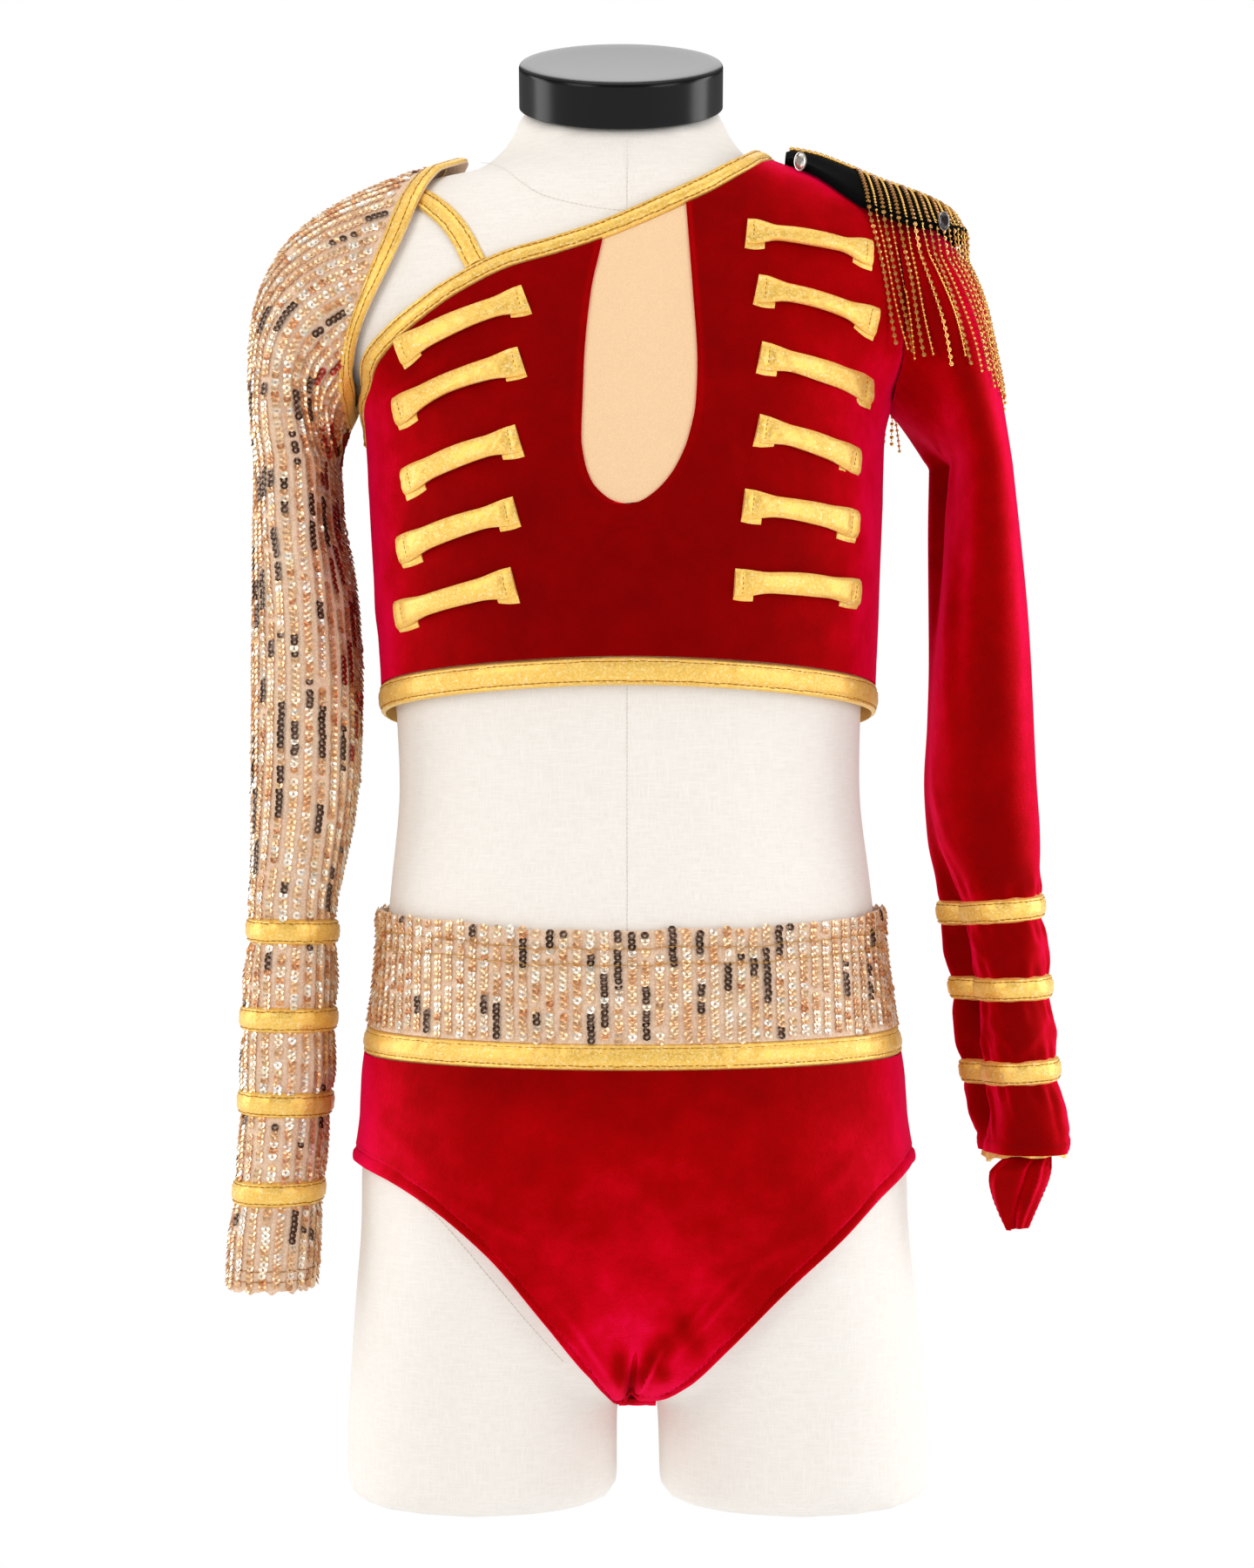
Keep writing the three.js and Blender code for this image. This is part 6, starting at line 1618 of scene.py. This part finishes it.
def shoulder_board():
    """A stiff felt board over the shoulder, its edge a little rounded."""
    x = np.concatenate([np.linspace(BOARD_ENDS[0], 142, 40), np.linspace(143.5, BOARD_ENDS[1], 9)])
    share = np.sin(np.linspace(-1, 1, 41) * math.pi / 2)
    p = np.array([[board_point(a, s) for a in x] for s in share])
    # Evens out what the rays found, so the board stays a smooth stiff shape
    for _ in range(6):
        q = p.copy()
        q[1:-1, 1:-1, 2] = (p[:-2, 1:-1, 2] + p[2:, 1:-1, 2] + p[1:-1, :-2, 2] + p[1:-1, 2:, 2]) / 4
        p[..., 2] = np.maximum(p[..., 2], q[..., 2])
    n = np.zeros_like(p)
    n[..., 2] = 1
    edge = np.minimum(1 - np.abs(share[:, None]), np.minimum(x - BOARD_ENDS[0], BOARD_ENDS[1] - x)[None] / 40)
    hi = 3.0 - 1.1 * bump(edge, 0, 0.035)
    wall("felt_board", "shoulder_board", p, 0.0, hi, FELT, n=n)


shoulder_board()


def board_rim():
    """The board's outline, back and front, and the level direction that points out of it."""
    x = np.array([r[0] for r in BOARD], float)
    line = np.array([board_point(a, -1) for a in x] + [board_point(a, 1) for a in x[::-1]])
    line = even(spline(line), 400)
    line[:, 2] = evened(line[:, 2], 12)
    d = np.gradient(line, axis=0)
    return line, unit(np.stack([d[:, 1], -d[:, 0], 0 * d[:, 0]], -1))


rim_line, rim_out = board_rim()
strand_cloth = tree_of("velvet_top_front", "velvet_top_back", "velvet_left_sleeve", "bar_right_1_gold",
                       "bar_right_2_gold", "bar_right_3_gold", "bar_right_4_gold", "neck_binding_front_gold",
                       "neck_binding_back_gold")
felt_tree = tree_of("felt_board")
STRANDS, STRAND, DRIFT = 40, 64, 13  # how many, how long the shortest, how far the front ones drift out
FALL = 2.5  # height between two steps down a strand
FRINGE = (0.19, 0.8)  # the part of the board's outline that carries them
BALL_PITCH, CUP_PITCH, BALL_SIZE, CUP_SIZE = 2.5, 3.2, 0.82, 1.05
BALL = revolved([[-0.92, 0.4], [0, 1.0], [0.92, 0.4]], 6)
CUP = revolved([[-0.55, 0.55], [0.0, 0.95], [0.42, 1.0]], 6)
GEM = revolved([[0.3, 0.8], [0.62, 0.78], [0.95, 0.42]], 6)
LINK = revolved([[-0.5, 1.0], [0.5, 1.0]], 4)


def strand_line(k):
    """A strand from the board's ridge, over its slope and rim, then down the cloth or free of it."""
    share = mix(FRINGE[0] + 0.004, FRINGE[1] - 0.004, k / (STRANDS - 1))
    i = share * (len(rim_line) - 1)
    p, m = (between(i, np.arange(len(rim_line)), rows) for rows in (rim_line, rim_out))
    way = unit(np.array([max(m[0], 0), m[1], 0]))
    across = np.array([-way[1], way[0], 0])
    length = (STRAND + 12 * smooth(0.3, 0.42, share) + 20 * smooth(0.5, 0.6, share) + 2.2 * math.sin(k * 2.4)
              + 1.4 * math.sin(k * 5.1))
    # From the ridge to the rim, on top of the felt
    root = np.array([min(p[0] - 3, 149.0), 0.06 * p[1], 0])
    points = []
    for t in np.linspace(0, 1, 7)[:-1]:
        at = mix(root, p - way * 0.3, t)
        z = drop_to(felt_tree, at[0], at[1])
        points.append(np.array([at[0], at[1], (z if math.isfinite(z) else p[2] + 3) + 0.9]))
    reach, z, used = 1.9, p[2] + 1.2, 0.0
    slant = rng.normal(0, 0.035)
    step = 0
    while used < length:
        sway = 0.04 * step * math.sin(k * 1.7 + step / 5) + slant * (p[2] - z)
        at = np.array([p[0], p[1], z]) + across * sway
        at[0] += DRIFT * max(-m[1], 0) * min(max((p[2] - z) / STRAND, 0), 1)
        seen = BEYOND - reach_to(strand_cloth, at + way * BEYOND, -way)
        new = max(reach, seen + 1.35) if step else reach
        used += math.hypot(new - reach, FALL) if step else 0
        reach = new
        points.append(at + way * reach)
        z -= FALL
        step += 1
    return even(spline(points, 6), 140), way


def fringe():
    """The backing strip and its strands: ball chain and cup chain by turns, with links between."""
    used = slice(*(int(share * len(rim_line)) for share in FRINGE), 4)
    strip_line, strip_out = rim_line[used], rim_out[used]
    v = np.linspace(-0.4, 2.9, 4)[:, None]
    grid = strip_line[None] + np.stack([0 * v, 0 * v, v], -1)
    tape = wall_arrays(grid, 0.4, 1.9, n=np.broadcast_to(strip_out[None], grid.shape))[:2]
    mesh("fringe_tape", *tape, FELT, node="chain_fringe")
    balls, cups, links = [], [], []
    for k in range(STRANDS):
        line, way = strand_line(k)
        kind = k % 2
        pitch = BALL_PITCH if kind else CUP_PITCH
        a = arc(line)
        s = np.arange(1.0, a[-1], pitch)
        q = along(line, s)
        t = heading(line, s)
        face = way[None] + [0, 0, 0.6]
        out = unit(face - t * np.sum(t * face, -1, keepdims=True))
        f = np.stack([out, np.cross(t, out), t], 1)
        (balls if kind else cups).append((q, f))
        mid = along(line, s[:-1] + pitch / 2)
        d = unit(np.diff(q, axis=0))
        o = out[:-1]
        side = unit(np.cross(d, o))
        size_of_link = np.array([pitch - (1.2 if kind else 2.2), 0.24, 0.24])
        links.append((mid, np.stack([d, side, np.cross(d, side)], 1), np.tile(size_of_link, (len(mid), 1))))
    balls, cups, links = ([np.concatenate(part) for part in zip(*rows)] for rows in (balls, cups, links))
    scatter("fringe_balls", BALL, *balls, BRASS, scale=BALL_SIZE, sharp=180)
    scatter("fringe_cups", CUP, *cups, BRASS, scale=CUP_SIZE)
    scatter("fringe_crystals", GEM, *cups, AMBER, scale=CUP_SIZE, sharp=20)
    scatter("fringe_links", LINK, *links[:2], BRASS, scale=links[2], sharp=60)


fringe()


def board_trim():
    """Rows of ball chain sewn along the board's ridge, each at its own share of the board's reach."""
    where, axes = [], []
    for side, low in ((-0.11, 74.5), (-0.04, 75.5), (0.03, 76), (0.1, 77)):
        x = np.linspace(low, 151.5, 160)
        y = side * board["reach"](x)
        top = np.array([drop_to(felt_tree, *spot) for spot in zip(x, y)])
        line = np.stack([x, y, top + 0.8], -1)[np.isfinite(top)]
        line[:, 2] = evened(line[:, 2], 4)
        a = arc(line)
        s = np.arange(0.8, a[-1], 2.7)
        q = along(line, s)
        t = heading(line, s)
        up = unit(np.array([[0, 0, 1.0]]) - t * t[:, 2:3])
        where.append(q)
        axes.append(np.stack([up, np.cross(t, up), t], 1))
    scatter("board_chain", BALL, np.concatenate(where), np.concatenate(axes), BRASS, scale=1.15, sharp=180,
            node="board_trim")


board_trim()


def oval_stone(name, node, share, out, mat):
    """A cut oval stone in its metal setting, on the board's outline: lofts of oval rings."""
    i = int(share * (len(rim_line) - 1))
    p, m = rim_line[i], rim_out[i]
    middle = p + m * out + [0, 0, 3.5]
    a = np.arange(16) * TURN / 16
    across = np.array([-m[1], m[0], 0])
    up = np.array([0, 0, 1.0])
    ring = lambda w, h, d: middle + np.outer(np.cos(a) * w, across) + np.outer(np.sin(a) * h, up) + m * d
    gem = loft([ring(2.6, 3.6, -0.6), ring(2.8, 3.9, 0.1), ring(2.3, 3.3, 1.0), ring(1.5, 2.3, 1.6),
                ring(0.1, 0.1, 1.62)])
    mesh(name, *gem, mat, sharp=12, node=node)
    setting = loft([ring(1.6, 2.4, -1.9), ring(3.0, 4.1, -0.5), ring(3.25, 4.4, 0.5), ring(2.9, 4.0, 0.45),
                    ring(2.6, 3.6, -0.7)])
    mesh(name + "_setting", *setting, STEEL, sharp=30)


oval_stone("clear_oval", "oval_stone_neck", 0.04, 2.4, CRYSTAL)
oval_stone("dark_oval", "oval_stone_arm", 0.34, 4.6, JET)


# Sewing
stitches("gold_stitches", gold_lines, OCHRE, pitch=2.9, length=2.75, thick=0.34, lift=0.06)
stitches("bar_stitches", bar_threads, OCHRE, pitch=2.0, length=1.5, thick=0.25, lift=0.05)
stitches("velvet_stitches", red_lines, RED_THREAD, pitch=3.0, length=2.0, thick=0.24, lift=-0.05)
stitches("waist_stitches", waist_lines, GOLD_THREAD, pitch=3.0, length=2.8, thick=0.42, lift=0.35)


def form_seams():
    """Seams of the form: down its middle, round its neck and along each groin."""
    z = np.concatenate([np.linspace(612, 380, 120), np.linspace(380, 70, 160)])
    centre = on_form(np.stack([0 * z, z], -1), 0.1)
    neck = [(-66, 606), (-54.8, 600), (-47.3, 593.4), (-37.9, 587), (-25, 583), (-6.7, 579.7), (20, 580),
            (40, 588)]
    groin = [(-92, 142), (-81.5, 133.4), (-63, 112.5), (-41, 86), (-28, 71)]
    lines = [centre]
    for row in (neck, groin, [(-x, z) for x, z in groin]):
        flat = even(spline(np.array([(x, z, 0) for x, z in row], float)), 80)[:, :2]
        lines.append(on_form(flat, 0.1))
    stitches("form_seam_stitches", lines, ECRU, pitch=2.1, length=1.8, thick=0.16, lift=0.0, wander=0.03)


form_seams()


# Studio
def area_light(name, spot, aim, width, height, power, colour="#FFFFFF"):
    """A soft box, turned to face a place."""
    light = bpy.data.lights.new(name, "AREA")
    light.shape = "RECTANGLE"
    light.size, light.size_y = width, height
    light.energy = power
    light.color = rgb(colour)[:3]
    lamp = bpy.data.objects.new(name, light)
    lamp.location = spot
    lamp.rotation_euler = (Vector(aim) - Vector(spot)).to_track_quat("-Z", "Y").to_euler()
    bpy.context.scene.collection.objects.link(lamp)


def studio():
    """Soft boxes round the form, and a white backdrop that only the camera sees."""
    middle = (0, 0, 0.34)
    area_light("key softbox", (-1.5, -1.6, 1.05), middle, 1.1, 1.5, 16, "#FFFBF7")
    area_light("fill softbox", (1.6, -1.45, 0.8), middle, 1.1, 1.5, 14.5, "#FCFDFF")
    area_light("top softbox", (0, -0.35, 1.95), middle, 1.2, 0.8, 5)
    area_light("left rim", (-1.7, 0.35, 0.6), middle, 0.7, 1.4, 12)
    area_light("right rim", (1.7, 0.35, 0.6), middle, 0.7, 1.4, 14)
    area_light("back softbox", (0, 1.35, 1.6), (0, 0, 0.66), 1.2, 0.7, 4)
    world = bpy.data.worlds.new("studio")
    bpy.context.scene.world = world
    world.use_nodes = True
    tree = world.node_tree
    tree.nodes.clear()
    new = lambda kind: tree.nodes.new("ShaderNode" + kind)
    link = tree.links.new
    out, blend, seen, room = new("OutputWorld"), new("MixShader"), new("Background"), new("Background")
    seen.inputs[0].default_value = (1, 1, 1, 1)
    # What the cloth reflects: a pale room with a dark gap between floor and boxes
    ways, split, ramp = new("TexCoord"), new("SeparateXYZ"), new("ValToRGB")
    link(ways.outputs["Generated"], split.inputs[0])
    link(split.outputs["Z"], ramp.inputs[0])
    stops = [(0.0, "#D8D6D4"), (0.12, "#8F8C8A"), (0.3, "#4A4848"), (0.5, "#8E8C8B"), (0.75, "#E4E3E2")]
    set_stops(ramp, stops)
    link(ramp.outputs[0], room.inputs[0])
    room.inputs[1].default_value = 0.9
    link(new("LightPath").outputs["Is Camera Ray"], blend.inputs[0])
    link(room.outputs[0], blend.inputs[1])
    link(seen.outputs[0], blend.inputs[2])
    link(blend.outputs[0], out.inputs[0])


def floor():
    """A white disc under the form."""
    look = Look("studio floor", Base_Color=(0, 0, 0, 1), Roughness=1.0, Specular_IOR_Level=0.0,
                Emission_Color=(1, 1, 1, 1), Emission_Strength=1.0)
    ring = [(3 * math.cos(t), 3 * math.sin(t), -0.0005) for t in np.linspace(0, TURN, 64, endpoint=False)]
    data = bpy.data.meshes.new("studio_floor")
    data.from_pydata(ring, [], [list(range(64))])
    data.materials.append(look.mat)
    disc = bpy.data.objects.new("studio_floor", data)
    bpy.context.scene.collection.objects.link(disc)


studio()
floor()
scene = bpy.context.scene
scene.view_settings.view_transform = "Standard"
scene.view_settings.look = "None"
scene.view_settings.exposure = 0.0
scene.cycles.max_bounces = 6
scene.render.film_transparent = False
